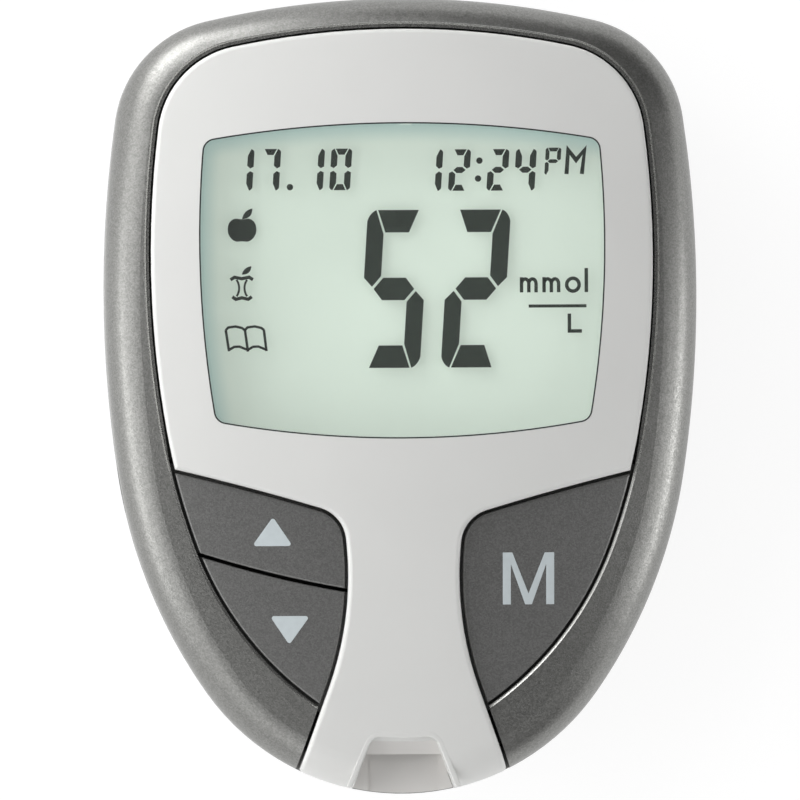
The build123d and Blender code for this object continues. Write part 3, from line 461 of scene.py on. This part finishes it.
class Finish(Net):
    """A procedural material: a Principled shader whose colour, roughness and bump come from nodes on Object places."""

    def __init__(self, name, **sockets):
        self.material = bpy.data.materials.new(name)
        super().__init__(self.material)
        self.shader = self.nodes["Principled BSDF"]
        self.output = self.nodes["Material Output"]
        self.place = self.nodes.new("ShaderNodeTexCoord").outputs["Object"]
        self.base = sockets.get("Base_Color")
        self.hue = self.height = None
        for key, value in sockets.items():
            socket = self.shader.inputs[key.replace("_", " ")]
            socket.default_value = (*value, 1) if len(np.shape(value)) else value

    def noise(self, size, detail=2.0, stretch=(1, 1, 1)):
        """Noise whose lumps are about size metres, drawn out by stretch."""
        place = self.place
        if stretch != (1, 1, 1):
            place = self.node("Mapping", {"Vector": place, "Scale": stretch}).outputs["Vector"]
        return self.node("TexNoise", {"Vector": place, "Scale": 1 / size, "Detail": detail}).outputs["Fac"]

    def flakes(self, size):
        """Random value of each flake of about size metres."""
        cells = self.node("TexVoronoi", {"Vector": self.place, "Scale": 1 / size, "Randomness": 1.0})
        return self.node("SeparateColor", {"Color": cells.outputs["Color"]}).outputs["Red"]

    def spread(self, value, low, high, start=0.3, end=0.7):
        """Value from start to end of a texture, mapped to low to high."""
        return self.node("MapRange", {"Value": value, "From Min": start, "From Max": end, "To Min": low,
                                      "To Max": high}).outputs["Result"]

    def times(self, first, second):
        """Product of two colours, or of a colour and a value."""
        # the colour sockets of a Mix node are its seventh and eighth inputs and its third output
        mixed = self.node("Mix", {0: 1.0, 6: first, 7: second}, data_type="RGBA", blend_type="MULTIPLY")
        return mixed.outputs[2]

    def tint(self, value, low, high, start=0.3, end=0.7):
        """Base colour from low to high times its brightness by a texture."""
        self.hue = self.times((*self.base, 1), self.spread(value, low, high, start, end))
        self.links.new(self.hue, self.shader.inputs["Base Color"])
        return self

    def painted_edge_shadow(self, circles, reach, shadow_tone):
        """Painted shadow: a colour factor that falls from white to shadow_tone within reach of the inside of circles
        (centre, radius).
        """
        clear = 1.0
        for centre, radius in circles:
            away = self.node("VectorMath", {0: self.place, 1: centre}, operation="DISTANCE").outputs["Value"]
            lit = self.node("MapRange", {"Value": away, "From Min": radius, "From Max": radius - reach},
                            interpolation_type="SMOOTHSTEP").outputs["Result"]
            clear = self.node("Math", {0: lit, 1: clear}, operation="MULTIPLY").outputs[0]
        return self.node("Mix", {0: clear, 6: (*shadow_tone, 1), 7: (1, 1, 1, 1)}, data_type="RGBA").outputs[2]

    def rough(self, value, low, high, start=0.3, end=0.7):
        """Roughness from low to high by a texture."""
        self.links.new(self.spread(value, low, high, start, end), self.shader.inputs["Roughness"])
        return self

    def bump(self, value, depth, strength=1.0):
        """Bump of depth metres by a texture, on top of the bumps before it."""
        inputs = {"Height": value, "Strength": strength, "Distance": depth}
        if self.height is not None:
            inputs["Normal"] = self.height
        self.height = self.node("Bump", inputs).outputs["Normal"]
        self.links.new(self.height, self.shader.inputs["Normal"])
        return self

    def on(self, *names):
        """Puts the material in the slots of CAD nodes."""
        for name in names:
            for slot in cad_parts[name].material_slots:
                slot.material = self.material
        return self


def plastic(name, base, grain, roughness=0.42, depth=0.000006):
    """Moulded plastic: slow clouds in its colour, fine even grain."""
    finish = Finish(name, Base_Color=base, Roughness=roughness, IOR=1.47, Specular_IOR_Level=0.4)
    finish.tint(finish.noise(0.012), 0.985, 1.015)
    finish.rough(finish.noise(grain * 3), roughness - 0.05, roughness + 0.05)
    return finish.bump(finish.noise(grain), depth)


def metallic_paint(name, base, flake, metallic, roughness, sparkle):
    """Metallic satin paint: each flake has its own brightness and tilt."""
    finish = Finish(name, Base_Color=base, Metallic=metallic, Roughness=roughness)
    finish.tint(finish.flakes(flake), 1 - sparkle, 1 + sparkle, 0.0, 1.0)
    finish.rough(finish.noise(flake * 2), roughness - 0.06, roughness + 0.06)
    return finish.bump(finish.noise(flake), flake * 0.7 * sparkle)


def glass(name, tint, ior, roughness=0.0):
    """Clear glass that lets the light of lamps straight through."""
    finish = Finish(name)
    body = finish.node("BsdfGlass", {"Color": (*tint, 1), "IOR": ior, "Roughness": roughness})
    speck = finish.spread(finish.noise(0.004), roughness, roughness + 0.01)
    finish.links.new(speck, body.inputs["Roughness"])
    through = finish.node("BsdfTransparent", {"Color": (*tint, 1)})
    ray = finish.node("LightPath")
    for kind in ("Is Diffuse Ray", "Is Shadow Ray"):
        body = finish.node("MixShader", {0: ray.outputs[kind], 1: body.outputs[0], 2: through.outputs[0]})
    finish.links.new(body.outputs[0], finish.output.inputs["Surface"])
    finish.nodes.remove(finish.shader)
    return finish


# Operators --------------------------------------------------------------------------------------------------------


class METER_OT_shell(bpy.types.Operator):
    """Finish the front plate, the strip port insert, the back and the battery cover"""

    bl_idname = "meter.shell"
    bl_label = "Finish the housing"

    def execute(self, context):
        look = context.scene.meter_shell
        plastic("white_plastic", tuple(look.plate), look.grain, 0.38).on("front_cover")
        plastic("port_plastic", tuple(look.port), look.grain, 0.45).on("strip_guide")
        rear = plastic("rear_plastic", tuple(look.rear), look.grain, 0.5, 0.000010)
        rear.on("rear_cover", "battery_cover")
        return {"FINISHED"}


class METER_OT_rim(bpy.types.Operator):
    """Paint the rim and lay the bevelled ledge along its inner edge"""

    bl_idname = "meter.rim"
    bl_label = "Finish the rim"

    def execute(self, context):
        look = context.scene.meter_shell
        paint = metallic_paint(
            "rim_metallic", tuple(look.paint), look.flake, metallic=0.85, roughness=0.36, sparkle=0.18)
        paint.on("rim_frame")
        bevel = metallic_paint(
            "edge_metallic", tuple(look.edge), look.flake, metallic=0.85, roughness=0.28, sparkle=0.10)
        centre, radius, bearing = plate_chain()
        toward = bearings(bearing)
        kept = self.clear_of_stem(centre + toward * (radius + LEDGE_MIDDLE)[:, None])
        centre, toward, radius = centre[kept], toward[kept], radius[kept]
        centre, toward = (np.vstack([half[::-1], half[1:] * (-1, 1)]) for half in (centre, toward))
        radius = np.concatenate([radius[::-1], radius[1:]])
        up = (centre + toward * radius[:, None])[:, 1] - LEDGE_KEYS_Y
        up = np.clip(up / (LEDGE_DISPLAY_Y - LEDGE_KEYS_Y), 0, 1)
        up = up * up * (3 - 2 * up)
        # growth of the plate's outline beside the keys and beside the display, and the drop of the front surface
        profile = [(0.72, 0.72, 1.40), (0.40, 0.20, 1.40), (0.42, 0.22, 1.12), (0.49, 0.49, 1.08), (0.50, 0.50, 0.91),
                   (0.64, 0.64, 0.79), (0.68, 0.68, 0.785), (0.72, 0.72, 0.84)]
        rows = [on_front(centre + toward * (radius + low + (high - low) * up)[:, None], drop)
                for low, high, drop in profile]
        new_piece("rim_bevel", [band(rows)], bevel.material, "case")
        return {"FINISHED"}

    @staticmethod
    def clear_of_stem(plan):
        """Whether each point of the right half lies beyond the seam of the stem."""
        x, y = plan.T
        down = np.clip(STEM_NARROW_Y - y, 0, STEM_NARROW_Y - STEM_STRAIGHT_Y)
        edge = STEM_HALF_WIDTH + STEM_RADIUS - np.sqrt(STEM_RADIUS ** 2 - down ** 2)
        edge += STEM_LEAN * np.clip(STEM_STRAIGHT_Y - y, 0, None)
        return (x > edge + STEM_SEAM) | (y > STEM_NARROW_Y)


class METER_OT_port(bpy.types.Operator):
    """Make the rolled lip round the strip port's notch"""

    bl_idname = "meter.port"
    bl_label = "Make the port's lip"

    def execute(self, context):
        look = context.scene.meter_shell
        outer = self.line(3.96, -32.30, 1.85, 0.17, 0.405)
        inner = self.line(3.41, -32.88, 1.1, 0.12, 0.40)
        # how far across the lip, and the drop below the plate's face, from its outer edge round to its underside
        profile = [(0.0, 0.04), (0.06, 0.0), (0.16, -0.022), (0.30, -0.025), (0.70, -0.025), (0.84, -0.01),
                   (0.94, 0.03), (1.0, 0.12), (1.0, 0.40), (0.0, 0.40)]
        rows = [on_front(outer + (inner - outer) * across, drop) for across, drop in profile]
        white = plastic("lip_plastic", tuple(look.plate), look.grain, 0.38)
        new_piece("port_lip", [band(rows)], white.material, "case")
        return {"FINISHED"}

    @staticmethod
    def line(half, top, corner, dip, lean, foot=-37.7):
        """Line round the notch: a leaning leg, an arc, a top edge with a cosine dip in its middle, an arc and a leg."""
        turn = math.degrees(math.atan(lean))
        bend = arc((half - corner, top - corner), (corner, corner), turn, 90, 14)
        depth = np.linspace(foot - bend[0, 1], 0, 40)[:-1]
        leg = np.column_stack([bend[0, 0] - depth * lean, bend[0, 1] + depth])
        reach = half - corner
        x = np.linspace(reach, 0, 16)[1:]
        edge = np.column_stack([x, top - dip * (1 + np.cos(math.pi * x / reach)) / 2])
        right = np.vstack([leg, bend, edge])
        return np.vstack([right, right[-2::-1] * (-1, 1)])


class METER_OT_keys(bpy.types.Operator):
    """Finish the three keys and their rubber domes"""

    bl_idname = "meter.keys"
    bl_label = "Finish the keys"

    def execute(self, context):
        look = context.scene.meter_shell
        paint = metallic_paint("key_paint", tuple(look.keys), look.flake, metallic=0.55, roughness=0.42, sparkle=0.17)
        paint.on("up_key", "down_key", "memory_key")
        rubber = plastic("dome_rubber", (0.32, 0.33, 0.33), look.grain, 0.7)
        rubber.on("up_dome", "down_dome", "memory_dome")
        return {"FINISHED"}


class METER_OT_display(bpy.types.Operator):
    """Finish the lens, the display glass, the reflector and what holds them"""

    bl_idname = "meter.display"
    bl_label = "Finish the display"

    def execute(self, context):
        look = context.scene.meter_display
        glass("lens_acrylic", (0.99, 1.0, 0.995), 1.45).on("display_lens")
        pane = glass("thin_glass", (0.995, 1.0, 0.995), 1.05)
        for name in ("lcd_front_glass", "lcd_rear_glass"):
            low, high = (np.array(corner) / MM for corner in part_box(name))
            plate = self.pane(low + (0, 0, PANE_GAP), high - (0, 0, PANE_GAP), PANE_CHAMFER)
            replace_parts(new_piece(name + "_pane", [plate], pane.material, "case"), name)
        # painted light: the emission makes the film glow, standing in for light that the deep-set display doesn't get
        back = Finish("reflector_film", Base_Color=tuple(look.background), Roughness=0.55, Emission_Strength=1.0)
        back.tint(back.noise(0.016), 0.93, 1.05)
        sides = (((WINDOW_SIDE_RADIUS - WINDOW_HALF_WIDTH, WINDOW_WIDEST_Y), WINDOW_SIDE_RADIUS),
                 ((0, WINDOW_TOP_Y - WINDOW_TOP_RADIUS), WINDOW_TOP_RADIUS))
        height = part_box("lcd_reflector")[1][2]
        circles = [((x * MM, y * MM, height), radius * MM) for (x, y), radius in sides]
        # painted shadow: the reflector's colour and glow are darkened and turned blue-green near the window's left and
        # top edges, where the bezel's shade falls
        painted_bezel_shadow = back.painted_edge_shadow(circles, reach=0.0023, shadow_tone=(0.66, 0.77, 0.81))
        back.links.new(back.times(back.hue, painted_bezel_shadow), back.shader.inputs["Base Color"])
        back.links.new(back.times((*look.glow, 1), painted_bezel_shadow), back.shader.inputs["Emission Color"])
        back.bump(back.noise(0.00006), 0.000004).rough(back.noise(0.0005), 0.5, 0.62)
        back.on("lcd_reflector")
        plastic("holder_plastic", (0.72, 0.73, 0.72), 0.00012, 0.5).on("lcd_holder")
        foam = plastic("sealing_foam", (0.02, 0.02, 0.021), 0.00025, 0.85, 0.00004)
        foam.on("lens_gasket")
        glue = plastic("dark_sealant", (0.035, 0.038, 0.038), 0.0001, 0.5)
        inner = 0.012 - LENS_GAP
        # growth of the window's outline and drop of the front surface
        profile = [(inner, 0.5), (inner, 0.095), (-0.15, 0.095), (-0.15, 0.08), (-0.012, 0.06), (-0.012, 0.5)]
        bead = band([on_front(window_outline(grow), drop) for grow, drop in profile], closed=True)
        new_piece("lens_seal", [bead], glue.material, "case")
        stripes = Finish("zebra_rubber", Base_Color=(0.55, 0.55, 0.53), Roughness=0.6)
        lines = stripes.noise(0.0002, 0.0, (1, 0.02, 0.02))
        stripes.tint(lines, 0.2, 1.1).bump(lines, 0.00001)
        stripes.on("zebra_strip")
        return {"FINISHED"}

    @staticmethod
    def pane(low, high, chamfer):
        """Glass plate between two corners, whose edges are ground off by the chamfer all round."""
        outlines = []
        for inset in (chamfer, 0, 0, chamfer):
            (x0, y0), (x1, y1) = low[:2] + inset, high[:2] - inset
            outlines.append([(x0, y0), (x1, y0), (x1, y1), (x0, y1)])
        return loft(outlines, [low[2], low[2] + chamfer, high[2] - chamfer, high[2]])


class METER_OT_inside(bpy.types.Operator):
    """Finish the chassis, the board with its parts, the cells and the contacts"""

    bl_idname = "meter.inside"
    bl_label = "Finish the inside"

    def execute(self, context):
        plastic("chassis_black", (0.05, 0.05, 0.047), 0.00015, 0.55).on("inner_frame")
        mask = Finish("solder_mask", Base_Color=(0.02, 0.16, 0.06), Roughness=0.35, Coat_Weight=0.4)
        mask.tint(mask.noise(0.0012, 4.0), 0.8, 1.2).bump(mask.noise(0.0003), 0.00001)
        mask.on("main_board")
        chip = plastic("moulded_black", (0.02, 0.02, 0.022), 0.00008, 0.5)
        chip.on("processor_chip", "sensor_chip", "buzzer", "data_jack", "strip_connector")
        for name, base, nodes in (
            ("nickel_plate", (0.62, 0.60, 0.57), ("clock_crystal", "positive_clips", "negative_springs")),
            ("gold_plate", (0.80, 0.58, 0.22), ("strip_contacts",)),
            ("stainless_steel", (0.60, 0.61, 0.60), ("coin_cell_left", "coin_cell_right")),
        ):
            metal = Finish(name, Base_Color=base, Metallic=1.0, Roughness=0.28)
            brushed = metal.noise(0.0001, 3.0, (0.05, 1, 1))
            metal.tint(brushed, 0.9, 1.08).rough(brushed, 0.2, 0.36).bump(brushed, 0.000003)
            metal.on(*nodes)
        tan = Finish("passive_body", Base_Color=(0.35, 0.26, 0.17), Roughness=0.45)
        tan.tint(tan.noise(0.0016), 0.6, 1.3).bump(tan.noise(0.0001), 0.000005)
        tan.on("board_passives")
        return {"FINISHED"}


class METER_OT_figures(bpy.types.Operator):
    """Make the dark figures of the display: reading, date, time, unit and meal marks"""

    bl_idname = "meter.figures"
    bl_label = "Make the display figures"

    def execute(self, context):
        look = context.scene.meter_display
        ink = Finish("display_ink", Base_Color=tuple(look.ink), Roughness=0.6, Specular_IOR_Level=0.2)
        ink.tint(ink.noise(0.003), 0.95, 1.05).rough(ink.noise(0.0005), 0.45, 0.55)
        big = look.reading_height / MM
        shape = {"width": 0.387 * big, "height": big, "side": 0.108 * big, "cross": 0.142 * big, "gap": 0.165,
                 "slant": 0.064}
        reading = []
        for character, x in zip(look.reading, (-0.73, 7.16)):
            reading += figure(character, (x, 10.38), **shape)
        small = look.small_height / MM
        shape = {"width": 0.50 * small, "height": small, "side": 0.155 * small, "cross": 0.145 * small, "gap": 0.10,
                 "slant": 0.065}
        date = self.line(look.date, (-15.18, -12.62, -10.68, -8.40, -5.78), 21.92, shape)
        time = self.line(look.time, (2.98, 5.65, 7.50, 9.35, 11.98), 21.80, shape)
        mark = {"width": 1.50, "height": 2.6, "side": 0.38, "cross": 0.36, "gap": 0.05, "slant": 0.065}
        noon = figure("P", (14.64, 22.61), **mark)
        noon.append(stroke([(15.95, 21.36), (16.12, 23.68), (16.88, 22.70), (17.70, 23.68), (17.42, 21.36)], 0.40))
        unit = letter_m(11.56, 9.98, 1.40, 1.46, 0.33) + letter_m(13.73, 9.98, 1.40, 1.46, 0.33)
        unit += [stroke(arc((16.51, 10.70), (0.60, 0.62), 0, 345, 24), 0.34, closed=True),
                 stroke([(17.80, 9.98), (17.80, 12.30)], 0.34), stroke([(12.24, 8.66), (17.80, 8.66)], 0.30),
                 stroke([(16.15, 7.92), (16.15, 6.24), (17.35, 6.24)], 0.34)]
        meals = [fruit((-15.31, 16.12), (1.38, 1.20)), leaf((-15.30, 17.18), (-14.30, 18.20), 0.24),
                 leaf((-15.36, 11.84), (-14.42, 12.64), 0.24)]
        for brim in ([(-16.45, 11.34), (-16.05, 11.58), (-15.36, 11.44), (-14.65, 11.58), (-14.28, 11.34)],
                     [(-16.28, 9.70), (-15.95, 9.46), (-15.36, 9.60), (-14.75, 9.46), (-14.40, 9.70)]):
            meals.append(stroke(brim, 0.32))
        for side in (-1, 1):
            waist = arc((-15.36 + side * 1.14, 10.54), (0.88, 1.15), 90 + side * 46, 90 + side * 134, 9)
            meals.append(stroke(waist, 0.20))
        meals += self.book()
        for name, parts in (("display_reading", reading), ("display_date", date), ("display_time", time + noon),
                            ("display_unit", unit), ("display_meal_marks", meals)):
            new_piece(name, parts, ink.material, "case")
        return {"FINISHED"}

    @staticmethod
    def line(text, places, y, shape):
        """Small figures, full stop and colon at their places along a line."""
        parts = []
        half = shape["height"] / 2
        for character, x in zip(text, places):
            if character == ".":
                parts.append(dot((x, y - half + 0.31), 0.31))
            elif character == ":":
                parts += [dot((x + 0.07, y + 0.90), 0.31), dot((x - 0.07, y - 0.83), 0.31)]
            else:
                parts += figure(character, (x, y), **shape)
        return parts

    @staticmethod
    def book():
        """Open book: two pages whose top and foot edges are arcs, and three sides."""
        parts = []
        for left, foot in ((-16.93, -16.62), (-15.08, -14.80)):
            top = [(left, 6.48), (left + 0.25, 6.75), (left + 0.95, 6.84), (left + 1.55, 6.70), (left + 1.85, 6.48)]
            low = [(foot, 4.60), (foot + 0.5, 4.88), (foot + 1.0, 4.90), (foot + 1.80, 4.58)]
            parts += [stroke(top, 0.24), stroke(low, 0.24)]
        for spine in ([(-16.93, 6.50), (-16.62, 4.46)], [(-15.08, 6.50), (-14.80, 4.42)],
                      [(-13.26, 6.50), (-13.02, 4.46)]):
            parts.append(stroke(spine, 0.25))
        return parts


class METER_OT_marks(bpy.types.Operator):
    """Print the two triangles and the letter M on the keys"""

    bl_idname = "meter.marks"
    bl_label = "Print the key marks"

    def execute(self, context):
        look = context.scene.meter_marks
        ink = Finish("mark_print", Base_Color=tuple(look.ink), Roughness=0.5)
        ink.tint(ink.noise(0.0008), 0.97, 1.03).rough(ink.noise(0.0002), 0.45, 0.6)
        ink.bump(ink.noise(0.0001), 0.000003)
        corner = look.corner / MM
        outlines = {
            "up": self.triangle((-14.62, -14.36), (-10.70, -14.36), (-12.60, -11.55), corner),
            "down": self.triangle((-9.04, -21.12), (-12.92, -21.12), (-11.04, -23.90), corner),
            "memory": self.letter(9.56, -20.12, 4.98, 5.02, look.stroke / MM),
        }
        for name, outline in outlines.items():
            print_on = draped(outline, 0.35, look.thickness / MM, 0.02)
            new_piece(name + "_mark", [print_on], ink.material, name + "_key")
        return {"FINISHED"}

    @staticmethod
    def triangle(first, second, third, radius):
        """Triangle, counter-clockwise, with each corner replaced by an arc that touches its sides."""
        corners = np.array([first, second, third])
        outline = []
        for index in range(3):
            here, back, onward = corners[index], corners[index - 1], corners[(index + 1) % 3]
            to_back, to_onward = ((end - here) / np.linalg.norm(end - here) for end in (back, onward))
            bisector = (to_back + to_onward) / np.linalg.norm(to_back + to_onward)
            half = math.acos(np.clip(to_back @ bisector, -1, 1))
            centre = here + bisector * radius / math.sin(half)
            start, end = (heading(here + side * radius / math.tan(half) - centre) for side in (to_back, to_onward))
            outline.append(arc(centre, (radius, radius), start, end if end > start else end + 360, 7))
        return np.vstack(outline)

    @staticmethod
    def letter(left, foot, width, height, line):
        """Capital M: two stems and two sloping strokes that meet at the foot."""
        right, top, middle = left + width, foot + height, left + width / 2
        slope = 1.18 * line
        return np.array([
            (left, foot), (left + line, foot), (left + line, top - 1.45 * line), (middle - line * 0.42, foot),
            (middle + line * 0.42, foot), (right - line, top - 1.45 * line), (right - line, foot), (right, foot),
            (right, top), (right - slope, top), (middle, foot + 1.35 * line), (left + slope, top), (left, top)])


class METER_OT_screws(bpy.types.Operator):
    """Make the case screws with cross recesses"""

    bl_idname = "meter.screws"
    bl_label = "Make the screws"

    def execute(self, context):
        steel = Finish("screw_steel", Base_Color=(0.42, 0.42, 0.43), Metallic=1.0, Roughness=0.35)
        worn = steel.noise(0.0003, 4.0)
        steel.tint(worn, 0.85, 1.1).rough(worn, 0.28, 0.45).bump(worn, 0.000004)
        parts = [self.screw(place) for place in SCREW_PLACES]
        piece = new_piece("case_screws_detailed", parts, steel.material, "case")
        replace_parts(piece, "case_screws")
        return {"FINISHED"}

    @staticmethod
    def screw(place):
        """Screw driven upwards: a profile turned round its axis, with a cross sunk into the head's face.

        The profile goes from the middle of the head's face over its edge and along the shank, whose radius
        rises and falls along it as a coarse thread. The cross is as deep as the narrower of its two slots allows.
        """
        face_z, tip_z = (corner[2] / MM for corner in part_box("case_screws"))
        turns = 64
        climb = np.linspace(face_z + SCREW_HEAD + 0.1, tip_z - 0.6, 60)
        thread = SCREW_SHANK - 0.10 * (1 - np.cos(2 * math.pi * climb / SCREW_PITCH))
        radius = np.concatenate([np.linspace(0, 1.35, 19), [1.5, 1.58, 1.6, 1.6, 1.58, SCREW_SHANK], thread, [0.35, 0]])
        height = np.concatenate([np.zeros(19), [0.05, 0.16, 0.3, SCREW_HEAD - 0.1, SCREW_HEAD, SCREW_HEAD]]) + face_z
        height = np.concatenate([height, climb, [tip_z - 0.1, tip_z]])
        angle = np.arange(turns) * 2 * math.pi / turns
        x, y = np.outer(radius, np.cos(angle)), np.outer(radius, np.sin(angle))
        slot = np.minimum(np.maximum(np.abs(x) / 0.20, np.abs(y) / 0.85),
                          np.maximum(np.abs(x) / 0.85, np.abs(y) / 0.20))
        sunk = 0.75 * np.clip(1.15 - slot, 0, 0.5) / 0.5 * np.clip(1.4 - np.hypot(x, y), 0, 1)
        z = height[:, None] + np.where(height[:, None] < face_z + 0.01, sunk, 0)
        points = np.stack([x + place[0], y + place[1], z], -1)
        rows = len(radius)
        index = np.arange(rows * turns).reshape(rows, turns)
        onward = np.roll(index, -1, 1)
        ring = index[1:-1]
        beside = np.roll(ring, -1, 1)
        quads = np.stack([ring[:-1], beside[:-1], beside[1:], ring[1:]], -1).reshape(-1, 4)
        first = np.column_stack([np.full(turns, index[0, 0]), onward[1], index[1]])
        last = np.column_stack([index[-2], onward[-2], np.full(turns, index[-1, 0])])
        used = np.concatenate([[index[0, 0]], ring.ravel(), [index[-1, 0]]])
        place_of = np.zeros(rows * turns, int)
        place_of[used] = np.arange(len(used))
        faces = [place_of[part].tolist() for part in (quads, first, last)]
        return points.reshape(-1, 3)[used], faces[0] + faces[1] + faces[2]


class METER_OT_stage(bpy.types.Operator):
    """Set the white floor, the soft light and the camera above the meter"""

    bl_idname = "meter.stage"
    bl_label = "Set the stage"

    def execute(self, context):
        self.floor()
        self.world(context.scene)
        for name, around, down, size, glow in (
            ("main_softbox", 170, 57, (0.70, 0.46), 1.62),
            ("upper_left_strip", 122, 79, (0.30, 0.20), 6.4),
            ("left_strip", 193, 80, (0.36, 0.16), 2.9),
            ("corner_strip", 138, 66, (0.20, 0.16), 3.0),
            ("top_strip", 108, 52, (0.40, 0.20), 1.2),
            ("front_fill", 248, 62, (0.56, 0.40), 1.2),
            ("right_softbox", 345, 62, (0.30, 0.50), 1.55),
            ("right_strip", 350, 83, (0.26, 0.12), 4.3),
        ):
            self.lamp(name, around, down, size, glow)
        self.camera(context.scene)
        context.scene.view_settings.view_transform = "Standard"
        return {"FINISHED"}

    @staticmethod
    def floor():
        """Round white floor, which shows white to the camera and keeps a soft shadow."""
        finish = Finish("floor_white")
        finish.nodes.remove(finish.shader)
        plain = finish.node("BsdfDiffuse", {"Color": finish.spread(finish.noise(0.3), 0.80, 0.82)})
        thin = finish.node("BsdfDiffuse", {"Color": (0.22, 0.22, 0.22, 1)})
        white = finish.node("Emission", {"Strength": 0.86})
        seen = finish.node("AddShader", {0: thin.outputs[0], 1: white.outputs[0]})
        ray = finish.node("LightPath").outputs
        sight = ray["Is Camera Ray"]
        for kind in ("Is Glossy Ray", "Is Transmission Ray"):
            sight = finish.node("Math", {0: sight, 1: ray[kind]}, operation="MAXIMUM").outputs[0]
        both = finish.node("MixShader", {0: sight, 1: plain.outputs[0], 2: seen.outputs[0]})
        finish.links.new(both.outputs[0], finish.output.inputs["Surface"])
        mesh = bpy.data.meshes.new("floor")
        disc = arc((0, 0), (2.5, 2.5), 0, 352.5, 48)
        mesh.from_pydata(np.column_stack([disc, np.full(48, -0.0001)]).tolist(), [], [list(range(48))])
        mesh.materials.append(finish.material)
        floor = bpy.data.objects.new("floor", mesh)
        bpy.context.scene.collection.objects.link(floor)

    @staticmethod
    def world(scene):
        """Even pale surroundings, darker towards the upper right, and white where the camera sees them."""
        scene.world = bpy.data.worlds.new("surroundings")
        net = Net(scene.world)
        net.nodes.clear()
        upper_right = Vector((0.75, 0.55, 0.35)).normalized()
        place = net.node("TexCoord").outputs["Generated"]
        aim = net.node("VectorMath", {0: place, 1: upper_right}, operation="DOT_PRODUCT")
        fade = net.node("MapRange", {"Value": aim.outputs["Value"], "From Min": -0.2, "From Max": 0.9, "To Min": 0.24,
                                     "To Max": 0.085})
        soft, white = net.node("Background", {"Strength": fade.outputs["Result"]}), net.node("Background")
        ray = net.node("LightPath").outputs
        sight = net.node("Math", {0: ray["Is Camera Ray"], 1: ray["Is Transmission Ray"]}, operation="MAXIMUM")
        both = net.node("MixShader", {0: sight.outputs[0], 1: soft.outputs[0], 2: white.outputs[0]})
        net.node("OutputWorld", {"Surface": both.outputs[0]})

    @staticmethod
    def lamp(name, around, down, size, glow):
        """Soft rectangular lamp at a bearing and an angle from overhead, both in degrees."""
        light = bpy.data.lights.new(name, "AREA")
        light.shape = "RECTANGLE"
        light.size, light.size_y = size
        light.energy = glow * math.pi * size[0] * size[1]
        lamp = bpy.data.objects.new(name, light)
        around, down = math.radians(around), math.radians(down)
        toward = Vector((math.sin(down) * math.cos(around), math.sin(down) * math.sin(around), math.cos(down)))
        lamp.location = toward * LAMP_DISTANCE + Vector(LAMP_AIM)
        lamp.rotation_euler = toward.to_track_quat("Z", "Y").to_euler()
        bpy.context.scene.collection.objects.link(lamp)

    @staticmethod
    def camera(scene):
        """Long lens almost straight above, turned by the yaw and rolled by the roll."""
        look = scene.meter_stage
        data = bpy.data.cameras.new("camera")
        data.lens = look.lens
        camera = bpy.data.objects.new("camera", data)
        scene.collection.objects.link(camera)
        back = Vector((-math.sin(look.yaw), 0, math.cos(look.yaw)))
        up = Vector((math.sin(look.roll), math.cos(look.roll), 0))
        side = up.cross(back).normalized()
        turn = Matrix((side, back.cross(side), back)).transposed()
        distance = look.view_width * data.lens / data.sensor_width
        camera.matrix_world = Matrix.Translation(Vector(CAMERA_AIM) + back * distance) @ turn.to_4x4()
        data.clip_start, data.clip_end = 0.1, 10
        scene.camera = camera


class METER_PT_sidebar(bpy.types.Panel):
    """Lists the steps that finish the meter"""

    bl_idname = "METER_PT_sidebar"
    bl_label = "Blood glucose meter"
    bl_space_type = "VIEW_3D"
    bl_region_type = "UI"
    bl_category = "Meter"

    def draw(self, context):
        for group in SETTINGS:
            settings = getattr(context.scene, group)
            box = self.layout.box()
            for name in settings.bl_rna.properties.keys():
                if name not in ("rna_type", "name"):
                    box.prop(settings, name)
        for step in STEPS:
            self.layout.operator(step.bl_idname)


SETTINGS = {
    "meter_shell": MeterShellSettings,
    "meter_display": MeterDisplaySettings,
    "meter_marks": MeterMarkSettings,
    "meter_stage": MeterStageSettings,
}
STEPS = (METER_OT_shell, METER_OT_rim, METER_OT_port, METER_OT_keys, METER_OT_display, METER_OT_inside,
         METER_OT_figures, METER_OT_marks, METER_OT_screws, METER_OT_stage)


def register():
    for name, group in SETTINGS.items():
        bpy.utils.register_class(group)
        setattr(bpy.types.Scene, name, PointerProperty(type=group))
    for step in STEPS + (METER_PT_sidebar,):
        bpy.utils.register_class(step)


def unregister():
    for step in (METER_PT_sidebar,) + STEPS[::-1]:
        bpy.utils.unregister_class(step)
    for name, group in SETTINGS.items():
        delattr(bpy.types.Scene, name)
        bpy.utils.unregister_class(group)


def main():
    """Registers the add-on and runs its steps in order."""
    register()
    for step in STEPS:
        family, verb = step.bl_idname.split(".")
        getattr(getattr(bpy.ops, family), verb)()


if __name__ == "__main__":
    main()
